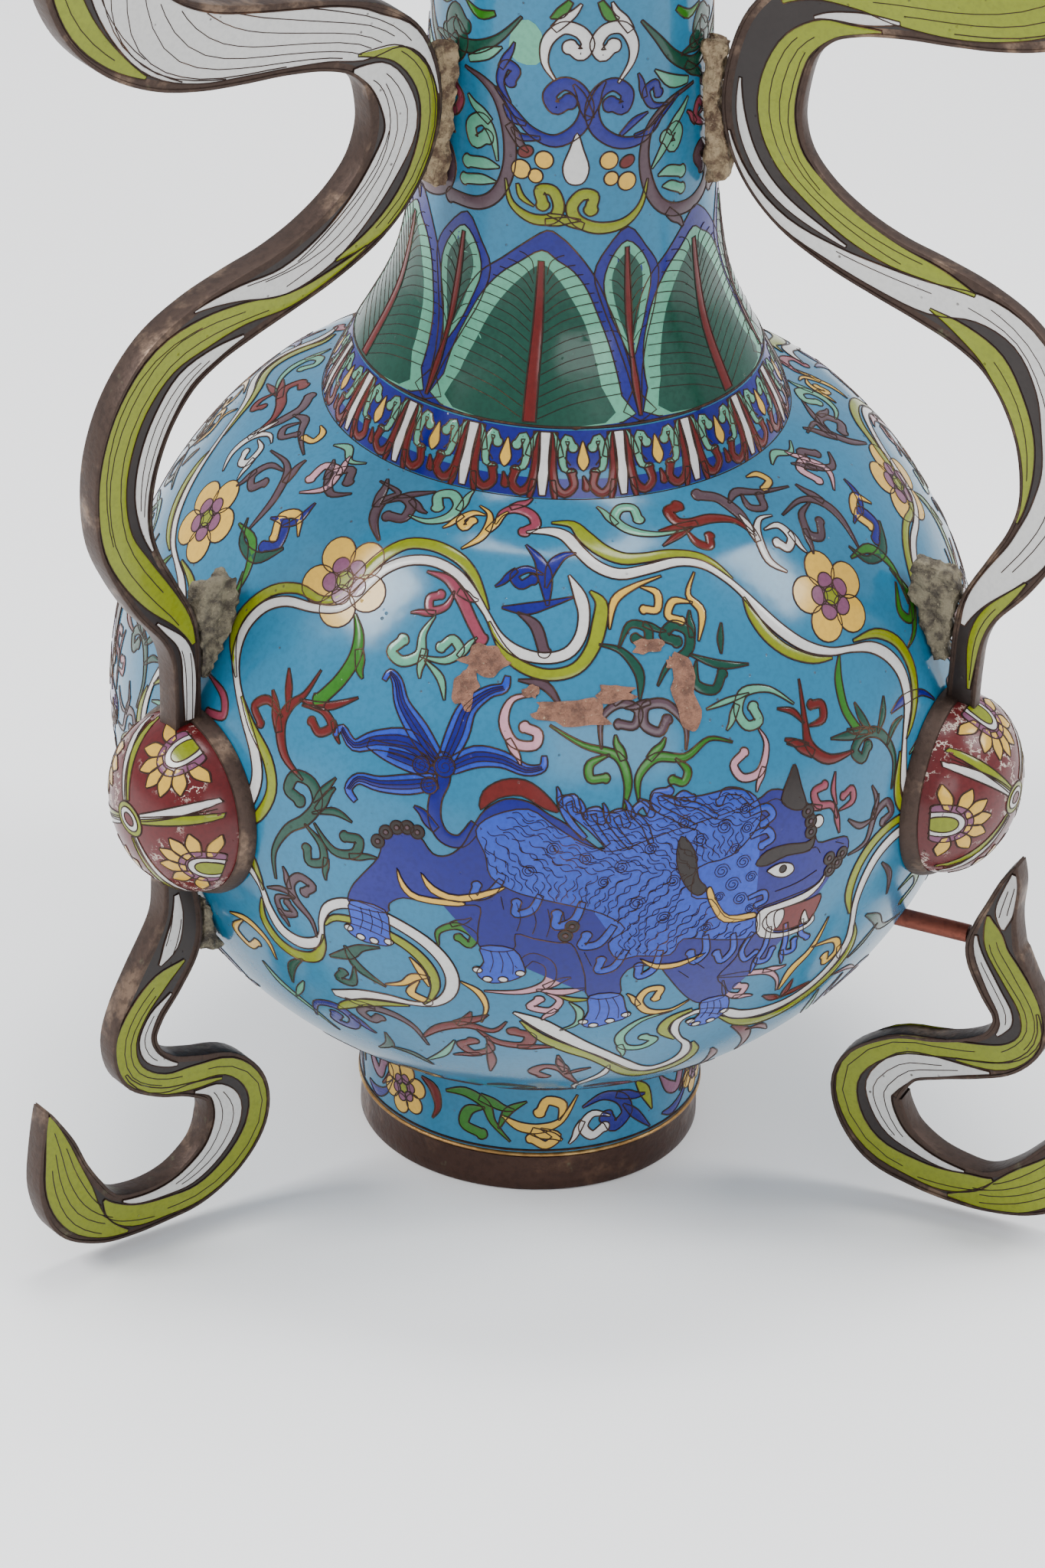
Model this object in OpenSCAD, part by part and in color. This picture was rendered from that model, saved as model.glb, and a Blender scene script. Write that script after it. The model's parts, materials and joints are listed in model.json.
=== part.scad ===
// Three-ribbon cloisonne bottle vase: a copper belly on a foot ring, a long neck,
// three brocade balls round the waist, and from each ball a ribbon handle that climbs
// to the neck and a ribbon tail that curls down beside the foot.
// Millimetres, +Z up, origin at the centre of the foot's resting face.
// Azimuth 0 is the front (-Y) and turns towards +X.

/* [Body] */
// Largest diameter of the belly
belly_d = 280; // [270:2:290]
// Height of the belly's widest line over the floor
belly_z = 160; // [156:1:164]
// Height from the widest line to the ellipse's top or bottom
belly_rise = 130; // [126:1:132]
// How far the shoulder is pressed in under the collar, as a part of its radius
shoulder_press = 0.04; // [0.03:0.005:0.05]
// Thickness of the copper with its enamel
wall = 2.5; // [2:0.25:3]

/* [Neck and mouth] */
// Height of the neck's top, where the mouth begins
neck_top = 500; // [495:1:505]
// Height of the whole vase
vase_h = 540; // [536:1:545]
// Diameter of the gilt lip
lip_d = 138; // [130:2:144]

/* [Foot] */
// Diameter of the enamelled foot ring
foot_d = 112; // [108:1:116]
// Height of the bare copper band that stands on the floor
band_h = 13; // [10:1:14]
// Height of the gilt bead over that band
bead_h = 1.6; // [1:0.2:2]

/* [Brocade balls] */
// Radius of a ball at its base
ball_r = 29.3; // [28:0.1:30.5]
// How far a ball bulges from its base
ball_rise = 22; // [20:1:24]
// Height of the balls' centres over the floor
ball_z = 159; // [157:1:161]
// Width of the copper flange round a ball, where it meets the belly
rim_w = 2; // [1.5:0.5:2.5]

/* [Ribbons] */
// Thickness of each handle across its two enamelled faces: they were boxed by hand and differ
handle_t = [9, 5, 7]; // [4.5:0.5:10]
// Thickness of a tail across its two enamelled faces
tail_t = 8; // [6:0.5:10]
// Thickness of the copper sheet that a ribbon is boxed from
sheet = 1.2; // [1:0.1:1.5]
// How much higher the second ribbon's free end was bent
second_lift = 8; // [0:1:10]
// Diameter of the copper pin that props the loose tail
pin_d = 6; // [4:0.5:7]

/* [Hidden] */
$fn = 96;
BALLS = 3;                      // balls, handles and tails, evenly round the belly
RIBBON_AZIMUTH = [-60, 60, 180]; // where the handles and tails stand; the third is at the back
BALL_AZIMUTH = [-59.3, 59.3, 180]; // the front balls are set a little closer than their ribbons
JOIN = 0.05;                    // gap left at a soldered face
SPAN_STEPS = 4;                 // outline steps between two stations of a ribbon
TIP = 0.6;                      // half width of a ribbon's pointed end
belly_r = belly_d / 2;
ball_base = belly_r + 1.5;      // distance of a ball's base plane from the axis
RIM_FOOT = [-4.4, -4.8];        // where a ball's flange meets the belly, inside and outside
foot_r = foot_d / 2;
lip_r = lip_d / 2;
bead_top = band_h + bead_h;
NECK_R = 43.4;                  // radius of the neck's straight upper part
COLLAR = [[74.5, 263], [71.9, 270.5], [68.3, 277.5], [65, 283.5]];
FLARE = [[60.5, 292], [56.5, 300], [53, 309], [50.5, 320], [48.6, 333], [46.5, 352], [44.6, 380],
    [43.6, 410]];
copper = "#4a3b33";
enamel_blue = "#4a97b8";
enamel_green = "#a6b52a";
enamel_maroon = "#7d3333";
gilt = "#c9a25a";
old_solder = "#8f8a6c";

// Stations of an upper ribbon: distance from the axis, height, half width
UPPER = [
    [143, 186, 5], [143.5, 200, 5], [144.5, 213, 5.5], [148, 224, 7], [156, 236, 8.5],
    [163, 248, 9], [167.5, 260, 10], [168.5, 274, 11], [166.5, 288, 12], [161, 302, 12.5],
    [151.5, 314.5, 12.5], [139, 322.5, 12], [125, 328, 11.5], [110, 333, 11], [95, 339.5, 11.5],
    [81, 348.5, 12.5], [71, 360, 13], [66, 374, 13.5], [66.5, 387, 13.5], [71, 399, 13],
    [81, 407.5, 12], [94, 412, 11.5], [110, 415, 12], [126, 417, 13], [141, 419.5, 14],
    [155, 424, 15], [168, 432, 16], [179, 443, 16], [187, 456, 14], [191, 469, 10],
    [192, 480, 6], [191, 488, 2.5], [190, 492, TIP]];
// Stations of a tail that is still soldered under its ball
TAIL = [
    [146, 133, 5], [144, 120, 7.5], [146, 108, 10], [152, 97, 10], [158, 87, 9],
    [161, 77, 8.5], [158, 67.5, 8.5], [149, 61, 7.5], [138, 57.5, 7.5], [127, 53, 9.5],
    [121, 44, 12], [121, 34, 12.5], [127, 24, 11], [137, 17, 9.5], [148, 14, 8],
    [160, 13.2, 8], [171, 15, 9], [181, 22, 11], [187, 33, 10], [190, 46, 7],
    [193, 58, 2.5], [194, 62, TIP]];
// Stations of the second tail, which has broken from its ball and leans out
LOOSE_TAIL = [
    [166, 135, TIP], [164.5, 128, 3.5], [162, 118, 5.5], [160.5, 109, 8], [160.5, 101, 10],
    [165, 91, 10], [170, 82, 9.5], [170.5, 74, 9.5], [165, 66, 8.5], [155, 61, 7.5],
    [143, 57.5, 7.5], [131, 54, 9], [121, 44, 12], [121, 34, 12.5], [128, 23, 11.5],
    [140, 16.5, 9], [152, 13.5, 7.8], [164, 13, 7.5], [176, 17, 9.5], [187, 25, 11],
    [196, 37, 10], [202, 49, 6], [206, 57, TIP]];

// ---- curves ----

function eased(t) = let (c = min(max(t, 0), 1)) c * c * (3 - 2 * c);

// A point of the belly at latitude a, moved inwards by depth
function belly_point(a, depth = 0) =
    let (s = 1 - shoulder_press * eased((a - 44) / 13))
    [(belly_r * s - depth) * cos(a), belly_z + (belly_rise * s - depth) * sin(a)];

// Catmull-Rom curve through hand-set stations
function between(a, b, c, d, t) =
    (2 * b + (c - a) * t + (2 * a - 5 * b + 4 * c - d) * t * t + (3 * b - a - 3 * c + d) * t * t * t) / 2;
function smooth(p, n) = concat(
    [for (i = [0 : len(p) - 2]) for (k = [0 : n - 1])
        between(p[max(i - 1, 0)], p[i], p[i + 1], p[min(i + 2, len(p) - 1)], k / n)],
    [p[len(p) - 1]]);

// One edge of a ribbon, on side +1 or -1 of its centre line
function edge(c, side) = [for (i = [0 : len(c) - 1])
    let (a = c[max(i - 1, 0)], b = c[min(i + 1, len(c) - 1)], t = [b.x - a.x, b.y - a.y],
         n = [-t.y, t.x] / norm(t))
    [c[i].x + side * n.x * c[i][2], c[i].y + side * n.y * c[i][2]]];
function backwards(p) = [for (i = [len(p) - 1 : -1 : 0]) p[i]];
function outline(c) = concat(edge(c, 1), backwards(edge(c, -1)));
// The same centre line, narrowed by the edge strip's thickness and shortened at its ends
function inner(c, t) = [for (i = [1 : len(c) - 2]) if (c[i][2] > t + 1) [c[i].x, c[i].y, c[i][2] - t]];
// The second ribbon's free end was bent up: its stations rise by lift past the neck
function lifted(p, lift) = [for (s = p)
    [s.x, s.y + lift * eased((s.y - 374) / 40), s[2]]];

function upper(i) = smooth(lifted(UPPER, i == 2 ? second_lift : 0), SPAN_STEPS);
function tail(i) = smooth(i == 2 ? LOOSE_TAIL : TAIL, SPAN_STEPS);

// ---- helpers ----

// Stands a drawing of distance and height upright at ribbon i's azimuth
module at_azimuth(i) {
    rotate([0, 0, RIBBON_AZIMUTH[i - 1] - 90]) rotate([90, 0, 0]) children();
}
module slab(t, shift = 0) {
    translate([0, 0, shift - t / 2]) linear_extrude(t) children();
}
module belly_form(extra) {
    rotate_extrude() polygon(concat([[0, belly_point(-72)[1] - extra]],
        [for (a = [-72 : 3 : 66]) belly_point(a, -extra)], [[0, belly_point(66)[1] + extra]]));
}
module neck_form(extra) {
    rotate_extrude() polygon(concat([[0, COLLAR[0][1]]],
        [for (p = concat(COLLAR, FLARE, [[NECK_R, neck_top]])) [p.x + extra, p.y]], [[0, neck_top]]));
}
// A ball's outer form, standing on its base plane along +Z
module ball_form(extra) {
    rotate_extrude() polygon(concat([[0, -6]], [[ball_r + extra, -6]],
        [for (a = [0 : 5 : 90]) [(ball_r + extra) * cos(a), (ball_rise + extra) * sin(a)]]));
}
module at_ball(i) {
    rotate([0, 0, BALL_AZIMUTH[i - 1] - 90]) translate([ball_base, 0, ball_z]) rotate([0, 90, 0])
        children();
}
module ball_and_rim(i) {
    at_ball(i) {
        ball_form(JOIN);
        translate([0, 0, -6]) cylinder(r = ball_r + rim_w + JOIN, h = 7);
    }
}
// The three plates of a ribbon: the strip round its edge and a face on each side
module ribbon_edge(i, c, t) {
    color(copper) difference() {
        at_azimuth(i) slab(t) difference() {
            polygon(outline(c));
            polygon(outline(inner(c, sheet)));
        }
        ball_and_rim(i);
        belly_form(JOIN);
    }
}
module ribbon_face(i, c, t, side) {
    color(enamel_green) difference() {
        at_azimuth(i) slab(sheet, side * (t - sheet) / 2) polygon(outline(inner(c, sheet + JOIN)));
        ball_and_rim(i);
        belly_form(JOIN);
    }
}
// An old lump of solder in the gap beside a ribbon
module solder(i, c, t, lump) {
    difference() {
        at_azimuth(i) slab(t) difference() {
            polygon(smooth(lump, SPAN_STEPS));
            polygon(outline([for (s = c) [s.x, s.y, s[2] + JOIN]]));
        }
        belly_form(2 * JOIN);
        neck_form(JOIN);
        ball_and_rim(i);
    }
}

// ---- body ----

module belly() {
    color(enamel_blue) rotate_extrude() polygon(concat(
        [[0, belly_point(-72)[1]]],
        [for (a = [-72 : 3 : 63]) belly_point(a)],
        [for (a = [63 : -3 : -72]) belly_point(a, wall)],
        [[0, belly_point(-72, wall)[1]]]));
}
module neck() {
    path = concat(COLLAR, FLARE, [[NECK_R, 430], [NECK_R, neck_top]]);
    color(enamel_blue) difference() {
        rotate_extrude() polygon(concat(path, backwards([for (p = path) [p.x - wall, p.y]])));
        belly_form(JOIN);
    }
}
module mouth() {
    path = [for (a = [0 : 9 : 81])
        [NECK_R + (lip_r - NECK_R - 2) * (1 - cos(a)) / 0.85,
         neck_top + JOIN + (vase_h - neck_top - 4) * sin(a)]];
    color(enamel_blue) rotate_extrude()
        polygon(concat(path, backwards([for (p = path) [p.x - wall, p.y]])));
}
module mouth_rim() {
    color(gilt) rotate_extrude() translate([lip_r - 2.5, vase_h - 2.5]) circle(r = 2.5, $fn = 24);
}
module foot_ring() {
    color(enamel_blue) difference() {
        translate([0, 0, bead_top + JOIN]) cylinder(r = foot_r, h = 50 - bead_top);
        translate([0, 0, bead_top - 1]) cylinder(r = foot_r - wall, h = 60);
        belly_form(JOIN);
    }
}
module foot_bead() {
    color(gilt) translate([0, 0, band_h + JOIN]) difference() {
        cylinder(r = foot_r + 0.6, h = bead_h - JOIN);
        translate([0, 0, -1]) cylinder(r = foot_r - wall, h = bead_h + 2);
    }
}
module foot_band() {
    color(copper) difference() {
        cylinder(r = foot_r - 0.5, h = band_h);
        translate([0, 0, -1]) cylinder(r = foot_r - 0.5 - wall, h = band_h + 2);
    }
}
module base_plate() {
    color(copper) translate([0, 0, band_h - 1.5]) cylinder(r = foot_r - 0.5 - wall - JOIN, h = 1.5);
}

// ---- balls ----

module ball(i) {
    color(enamel_maroon) at_ball(i) rotate_extrude() polygon(concat(
        [for (a = [0 : 5 : 90]) [ball_r * cos(a), ball_rise * sin(a)]],
        [for (a = [90 : -5 : 0]) [(ball_r - wall) * cos(a), (ball_rise - wall) * sin(a)]]));
}
module ball_rim(i) {
    color(copper) at_ball(i) rotate_extrude() polygon([
        [ball_r + JOIN, RIM_FOOT[0]], [ball_r + rim_w, RIM_FOOT[1]], [ball_r + rim_w, RIM_FOOT[1] + 1.5],
        [ball_r + rim_w / 2, 0], [ball_r + JOIN, 0.6]]);
}

// ---- joints ----

module tail_pin() {
    color("#8a4a36") difference() {
        rotate([0, 0, RIBBON_AZIMUTH[1] - 90]) translate([110, 0, 104.5]) rotate([0, 90, 0])
            cylinder(d = pin_d, h = 60);
        belly_form(JOIN);
        at_azimuth(2) slab(40) polygon([[150.3, 0], [220, 0], [220, 150], [150.3, 150]]);
    }
}
module neck_solder() {
    color(old_solder) for (i = [1 : BALLS])
        solder(i, upper(i), 7, [[40, 350], [51, 348], [57, 356], [58, 374], [56, 392], [50, 399], [40, 397]]);
}
module handle_solder() {
    color(old_solder) for (i = [1 : BALLS])
        solder(i, upper(i), 9, [[120, 200], [128, 202], [141, 201], [145, 212], [143, 224], [137, 234], [124, 236]]);
}
module tail_solder() {
    color(old_solder) for (i = [1, 3])
        solder(i, tail(i), 9, [[120, 104], [130, 101], [138, 103], [141, 112], [142, 122], [126, 122]]);
}

belly();
neck();
mouth();
mouth_rim();
foot_ring();
foot_bead();
foot_band();
base_plate();
ball(1);  // ball_1
ball(2);  // ball_2
ball(3);  // ball_3
ball_rim(1);  // ball_1_rim
ball_rim(2);  // ball_2_rim
ball_rim(3);  // ball_3_rim
ribbon_edge(1, upper(1), handle_t[0]);  // ribbon_1_edge
ribbon_face(1, upper(1), handle_t[0], 1);  // ribbon_1_left_face
ribbon_face(1, upper(1), handle_t[0], -1);  // ribbon_1_right_face
ribbon_edge(2, upper(2), handle_t[1]);  // ribbon_2_edge
ribbon_face(2, upper(2), handle_t[1], 1);  // ribbon_2_left_face
ribbon_face(2, upper(2), handle_t[1], -1);  // ribbon_2_right_face
ribbon_edge(3, upper(3), handle_t[2]);  // ribbon_3_edge
ribbon_face(3, upper(3), handle_t[2], 1);  // ribbon_3_left_face
ribbon_face(3, upper(3), handle_t[2], -1);  // ribbon_3_right_face
ribbon_edge(1, tail(1), tail_t);  // tail_1_edge
ribbon_face(1, tail(1), tail_t, 1);  // tail_1_left_face
ribbon_face(1, tail(1), tail_t, -1);  // tail_1_right_face
ribbon_edge(2, tail(2), tail_t);  // tail_2_edge
ribbon_face(2, tail(2), tail_t, 1);  // tail_2_left_face
ribbon_face(2, tail(2), tail_t, -1);  // tail_2_right_face
ribbon_edge(3, tail(3), tail_t);  // tail_3_edge
ribbon_face(3, tail(3), tail_t, 1);  // tail_3_left_face
ribbon_face(3, tail(3), tail_t, -1);  // tail_3_right_face
tail_pin();
neck_solder();
handle_solder();
tail_solder();
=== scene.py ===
# %% [markdown]
# # A cloisonne bottle vase with ribbon handles
#
# The real object is beaten copper. Thin copper wires are bent into cells on it, the cells are
# filled with ground glass of many colours, and the whole is fired and polished until wire and
# glass are one smooth skin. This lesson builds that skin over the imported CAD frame: turned
# bodies first, then the boxed ribbons, and then every cell of the decoration with its own wire.
#
# The cells could be painted as a texture, but a texture blurs close by and is lost on a mesh.
# So each cell is a thin pad of enamel and each wire a fine raised strip, laid on the surface.

import json
import math
import random
from bisect import bisect_left

import bmesh
import bpy
from mathutils import Matrix, Vector, noise

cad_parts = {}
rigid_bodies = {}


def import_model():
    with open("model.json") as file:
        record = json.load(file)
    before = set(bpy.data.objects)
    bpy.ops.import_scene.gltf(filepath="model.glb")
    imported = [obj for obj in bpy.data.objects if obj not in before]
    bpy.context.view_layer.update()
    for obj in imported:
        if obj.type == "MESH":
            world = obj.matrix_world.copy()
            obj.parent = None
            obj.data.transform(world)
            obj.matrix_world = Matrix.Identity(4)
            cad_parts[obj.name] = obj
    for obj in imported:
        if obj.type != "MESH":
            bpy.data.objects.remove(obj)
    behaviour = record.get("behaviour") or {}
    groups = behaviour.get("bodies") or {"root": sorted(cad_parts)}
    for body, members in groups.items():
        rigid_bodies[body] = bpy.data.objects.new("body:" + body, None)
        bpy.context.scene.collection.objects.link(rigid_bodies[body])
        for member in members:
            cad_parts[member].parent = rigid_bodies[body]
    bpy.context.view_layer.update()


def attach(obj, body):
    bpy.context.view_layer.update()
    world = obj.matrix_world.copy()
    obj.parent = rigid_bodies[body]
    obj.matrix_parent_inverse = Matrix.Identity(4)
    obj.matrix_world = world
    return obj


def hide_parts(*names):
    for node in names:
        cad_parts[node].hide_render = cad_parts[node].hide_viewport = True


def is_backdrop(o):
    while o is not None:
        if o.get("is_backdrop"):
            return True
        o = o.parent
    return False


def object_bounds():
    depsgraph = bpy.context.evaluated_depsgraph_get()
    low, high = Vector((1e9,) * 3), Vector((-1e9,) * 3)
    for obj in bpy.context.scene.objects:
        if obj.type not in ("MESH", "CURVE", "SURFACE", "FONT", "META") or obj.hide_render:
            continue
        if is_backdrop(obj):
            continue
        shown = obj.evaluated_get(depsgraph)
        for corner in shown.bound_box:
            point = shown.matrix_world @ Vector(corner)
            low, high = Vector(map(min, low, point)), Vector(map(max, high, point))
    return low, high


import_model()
MM = 0.001

# %% [markdown]
# ## Camera, floor and light
#
# The vase is looked down on from about thirty degrees, with a long lens, so that its foot, its
# neck and both front handles are seen at once. A long lens keeps the neck from looking pinched.
# The camera is placed by its distance, height and heading, and then tilted about its own axis.

# %% Camera
HEADING = math.radians(7.37)
DIP = math.radians(29.3)
LEAN = math.radians(2.23)
lens = bpy.data.cameras.new("viewpoint")
lens.lens = 212.8
lens.sensor_width = 36.0
lens.clip_start = 0.1
lens.clip_end = 30.0
camera = bpy.data.objects.new("viewpoint", lens)
bpy.context.scene.collection.objects.link(camera)
forward = Vector((math.sin(HEADING) * math.cos(DIP), math.cos(HEADING) * math.cos(DIP), -math.sin(DIP)))
level = Vector((math.cos(HEADING), -math.sin(HEADING), 0))
upright = level.cross(forward)
across = math.cos(LEAN) * level + math.sin(LEAN) * upright
over = -math.sin(LEAN) * level + math.cos(LEAN) * upright
turn = Matrix((across, over, -forward)).transposed()
camera.matrix_world = Matrix.Translation((-0.3427, -2.6029, 1.5938)) @ turn.to_4x4()
bpy.context.scene.camera = camera
print("camera looks", [round(x, 3) for x in forward])

# %% Floor and studio light
bm = bmesh.new()
bmesh.ops.create_grid(bm, x_segments=1, y_segments=1, size=6.0)
bmesh.ops.translate(bm, verts=bm.verts, vec=(0, 0, -0.0002))
floor_mesh = bpy.data.meshes.new("studio_floor")
bm.to_mesh(floor_mesh)
bm.free()
studio_floor = bpy.data.objects.new("studio_floor", floor_mesh)
bpy.context.scene.collection.objects.link(studio_floor)
studio_floor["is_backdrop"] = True
pale = bpy.data.materials.new("pale_floor")
pale.use_nodes = True
pale.node_tree.nodes["Principled BSDF"].inputs["Base Color"].default_value = (0.93, 0.93, 0.925, 1)
pale.node_tree.nodes["Principled BSDF"].inputs["Roughness"].default_value = 0.7
floor_mesh.materials.append(pale)


def softbox(name, place, aim, width, height, power):
    """A rectangular studio lamp that faces a point."""
    lamp = bpy.data.lights.new(name, "AREA")
    lamp.shape = "RECTANGLE"
    lamp.size = width
    lamp.size_y = height
    lamp.energy = power
    holder = bpy.data.objects.new(name, lamp)
    bpy.context.scene.collection.objects.link(holder)
    facing = (Vector(aim) - Vector(place)).to_track_quat("-Z", "Y")
    holder.matrix_world = Matrix.Translation(place) @ facing.to_matrix().to_4x4()
    return holder


softbox("window_left", (-1.7, -0.5, 1.75), (0, 0, 0.2), 0.8, 0.8, 52)
softbox("window_right", (1.75, -0.3, 1.7), (0, 0, 0.2), 0.6, 1.0, 30)
softbox("overhead", (0.1, 0.3, 2.3), (0, 0, 0.2), 1.0, 0.7, 34)
softbox("front_fill", (0.5, -2.8, 1.0), (0, 0, 0.2), 1.8, 1.0, 22)
sky = bpy.data.worlds.new("studio_room")
sky.use_nodes = True
sky.node_tree.nodes["Background"].inputs["Color"].default_value = (0.93, 0.95, 1.0, 1)
sky.node_tree.nodes["Background"].inputs["Strength"].default_value = 0.95
bpy.context.scene.world = sky

# %% [markdown]
# ## Finishes
#
# Every finish is worked out from a place on the object. Writing node trees by hand hides the
# sums, so a small class lets a socket be added, multiplied and compared like a number, and one
# method adds any other node.

# %% A socket that can be added and multiplied


class Strength:
    """One output socket of a finish, so that sums of nodes read as sums."""

    def __init__(self, finish, socket):
        self.finish = finish
        self.socket = socket

    def sum_node(self, operation, first, second):
        return self.finish.add("Math", {0: first, 1: second}, operation=operation)

    def __add__(self, other):
        return self.sum_node("ADD", self, other)

    def __radd__(self, other):
        return self.sum_node("ADD", other, self)

    def __sub__(self, other):
        return self.sum_node("SUBTRACT", self, other)

    def __rsub__(self, other):
        return self.sum_node("SUBTRACT", other, self)

    def __mul__(self, other):
        return self.sum_node("MULTIPLY", self, other)

    def __rmul__(self, other):
        return self.sum_node("MULTIPLY", other, self)

    def rise(self, low, high):
        """0 below low, 1 above high, and smooth between; low may be the larger."""
        return self.finish.add(
            "MapRange",
            {"Value": self, "From Min": low, "From Max": high},
            interpolation_type="SMOOTHSTEP",
        )


class Finish:
    """A material that is built from a recipe of nodes."""

    def __init__(self, name):
        self.material = bpy.data.materials.new(name)
        self.material.use_nodes = True
        self.tree = self.material.node_tree
        self.shader = self.tree.nodes["Principled BSDF"]
        self.place = self.add("TexCoord", {}, out="Object")

    def feed(self, socket, value):
        if isinstance(value, Strength):
            self.tree.links.new(value.socket, socket)
        else:
            socket.default_value = value

    def add(self, kind, sockets, out=0, stops=(), **settings):
        node = self.tree.nodes.new("ShaderNode" + kind)
        for key, value in settings.items():
            setattr(node, key, value)
        for number, (spot, colour) in enumerate(stops):
            if number == 0:
                node.color_ramp.elements.remove(node.color_ramp.elements[1])
                stop = node.color_ramp.elements[0]
            else:
                stop = node.color_ramp.elements.new(spot)
            stop.position = spot
            stop.color = colour
        for key, value in sockets.items():
            self.feed(node.inputs[key], value)
        return Strength(self, node.outputs[out])

    def cloud(self, size, detail=3.0, roughness=0.55):
        """Soft noise whose blotches measure about size millimetres."""
        sockets = {"Vector": self.place, "Scale": 1000.0 / size, "Detail": detail, "Roughness": roughness}
        return self.add("TexNoise", sockets)

    def dots(self, size, feature="F1"):
        """Distance to scattered points that lie about size millimetres apart."""
        sockets = {"Vector": self.place, "Scale": 1000.0 / size}
        return self.add("TexVoronoi", sockets, out="Distance", feature=feature)

    def tint(self, amount, first, second):
        """The first colour, turned to the second where amount is 1."""
        return self.add("Mix", {0: amount, 6: first, 7: second}, out=2, data_type="RGBA")

    def finish(self, colour, roughness, height=None, depth=0.0001, **fixed):
        self.feed(self.shader.inputs["Base Color"], colour)
        self.feed(self.shader.inputs["Roughness"], roughness)
        for key, value in fixed.items():
            self.feed(self.shader.inputs[key.replace("_", " ")], value)
        if height is not None:
            bump = self.add("Bump", {"Height": height, "Distance": depth, "Strength": 1.0}, out="Normal")
            self.feed(self.shader.inputs["Normal"], bump)
        return self.material


def paint(red, green, blue):
    """A screen colour of 0 to 255 as the linear colour that a shader wants."""
    screen = (red / 255, green / 255, blue / 255)
    linear = [c / 12.92 if c <= 0.04045 else ((c + 0.055) / 1.055) ** 2.4 for c in screen]
    return (*linear, 1.0)


# %% [markdown]
# ### Enamel
#
# Fired glass is never even. Its colour drifts a little over a hand's breadth, fine grains of the
# powder show as specks, gas leaves pinholes that fill with dirt, and polishing leaves a soft
# ripple in the shine. A coat of varnish could fake the gloss, but glass is glossy through and
# through, so the shader's own low roughness does it.

# %% The enamel recipe


def enamel(name, colour, drift=0.1, pits=0.5, shine=0.17, scratch=0.0):
    glass = Finish(name)
    colour = tuple(0.55 * c ** 1.25 for c in colour[:3]) + (1,)
    slow = glass.cloud(60, 4)
    fine = glass.cloud(1.6, 2)
    dark = tuple(c * 0.6 for c in colour[:3]) + (1,)
    light = tuple(min(1, c * 1.18 + 0.01) for c in colour[:3]) + (1,)
    shade = glass.tint(slow.rise(0.35, 0.7) * (drift * 4), colour, light)
    shade = glass.tint(fine.rise(0.6, 0.3) * (drift * 2.2), shade, dark)
    holes = glass.dots(4.5).rise(0.13, 0.07) * glass.cloud(9).rise(0.5, 0.62)
    shade = glass.tint(holes * pits, shade, paint(52, 40, 30))
    gloss = shine + 0.16 * slow.rise(0.5, 0.75) + 0.3 * holes
    if scratch:
        warped = glass.cloud(7, 5, 0.7)
        lines = (warped - 0.5) * (warped - 0.5)
        marks = lines.rise(0.0004, 0.00005) * glass.cloud(16, 2).rise(0.5, 0.62)
        shade = glass.tint(marks * scratch, shade, paint(214, 200, 186))
        gloss = gloss + 0.3 * marks
    relief = slow * 0.5 + glass.cloud(11, 2) * 0.35 - holes * 0.5
    return glass.finish(shade, gloss, relief, 0.0003, IOR=1.4)


# %% The colours of glass on this vase
GLASS = {
    "turquoise": enamel("turquoise_glass", paint(62, 150, 186), 0.12, 0.75, 0.16),
    "white": enamel("white_glass", paint(242, 241, 238), 0.08, 0.8),
    "chartreuse": enamel("yellow_green_glass", paint(164, 174, 34), 0.14, 0.6),
    "cobalt": enamel("cobalt_glass", paint(14, 26, 152), 0.2, 0.2),
    "azure": enamel("mid_blue_glass", paint(58, 100, 214), 0.2, 0.2),
    "ochre": enamel("egg_yellow_glass", paint(250, 208, 96), 0.1, 0.4),
    "mauve": enamel("mauve_glass", paint(158, 104, 136), 0.14, 0.4),
    "maroon": enamel("maroon_glass", paint(134, 36, 28), 0.16, 0.3),
    "ball_red": enamel("ball_red_glass", paint(128, 40, 44), 0.2, 0.7, 0.24, 0.8),
    "pine": enamel("dark_green_glass", paint(16, 98, 80), 0.2, 0.3),
    "leaf": enamel("leaf_green_glass", paint(70, 144, 40), 0.16, 0.3),
    "mint": enamel("mint_glass", paint(126, 196, 168), 0.12, 0.5),
    "taupe": enamel("taupe_glass", paint(112, 88, 98), 0.14, 0.3),
    "pink": enamel("pale_pink_glass", paint(226, 178, 190), 0.1, 0.5),
    "rose": enamel("rose_glass", paint(172, 88, 108), 0.14, 0.4),
    "brown": enamel("bottle_brown_glass", paint(58, 44, 38), 0.2, 0.4, 0.3),
}
print("glasses", len(GLASS))

# %% [markdown]
# ### Metals
#
# Bare copper goes dark brown in the air and stays bright only where hands rub it. The cell wires
# are copper too, polished flush with the glass, so they read as thin brown lines. The lip and the
# bead over the foot were gilt, and the gilding has worn to a dull gold. At the joints old solder
# and dirt have grown a grey-green crust.

# %% The metal recipes


def brown_copper(name, base, worn, amount, rough=0.42):
    metal = Finish(name)
    patch = metal.cloud(22, 5, 0.65)
    grain = metal.cloud(2.2, 3)
    shade = metal.tint(patch.rise(0.52, 0.68) * amount, base, worn)
    shade = metal.tint(grain.rise(0.55, 0.35) * 0.5, shade, tuple(c * 0.55 for c in base[:3]) + (1,))
    green = metal.cloud(14, 4, 0.7).rise(0.64, 0.74)
    shade = metal.tint(green * 0.35, shade, paint(112, 118, 92))
    relief = grain * 0.6 + patch * 0.4
    gloss = rough + 0.2 * grain - 0.12 * patch.rise(0.52, 0.68)
    return metal.finish(shade, gloss, relief, 0.0004, Metallic=0.72)


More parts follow.
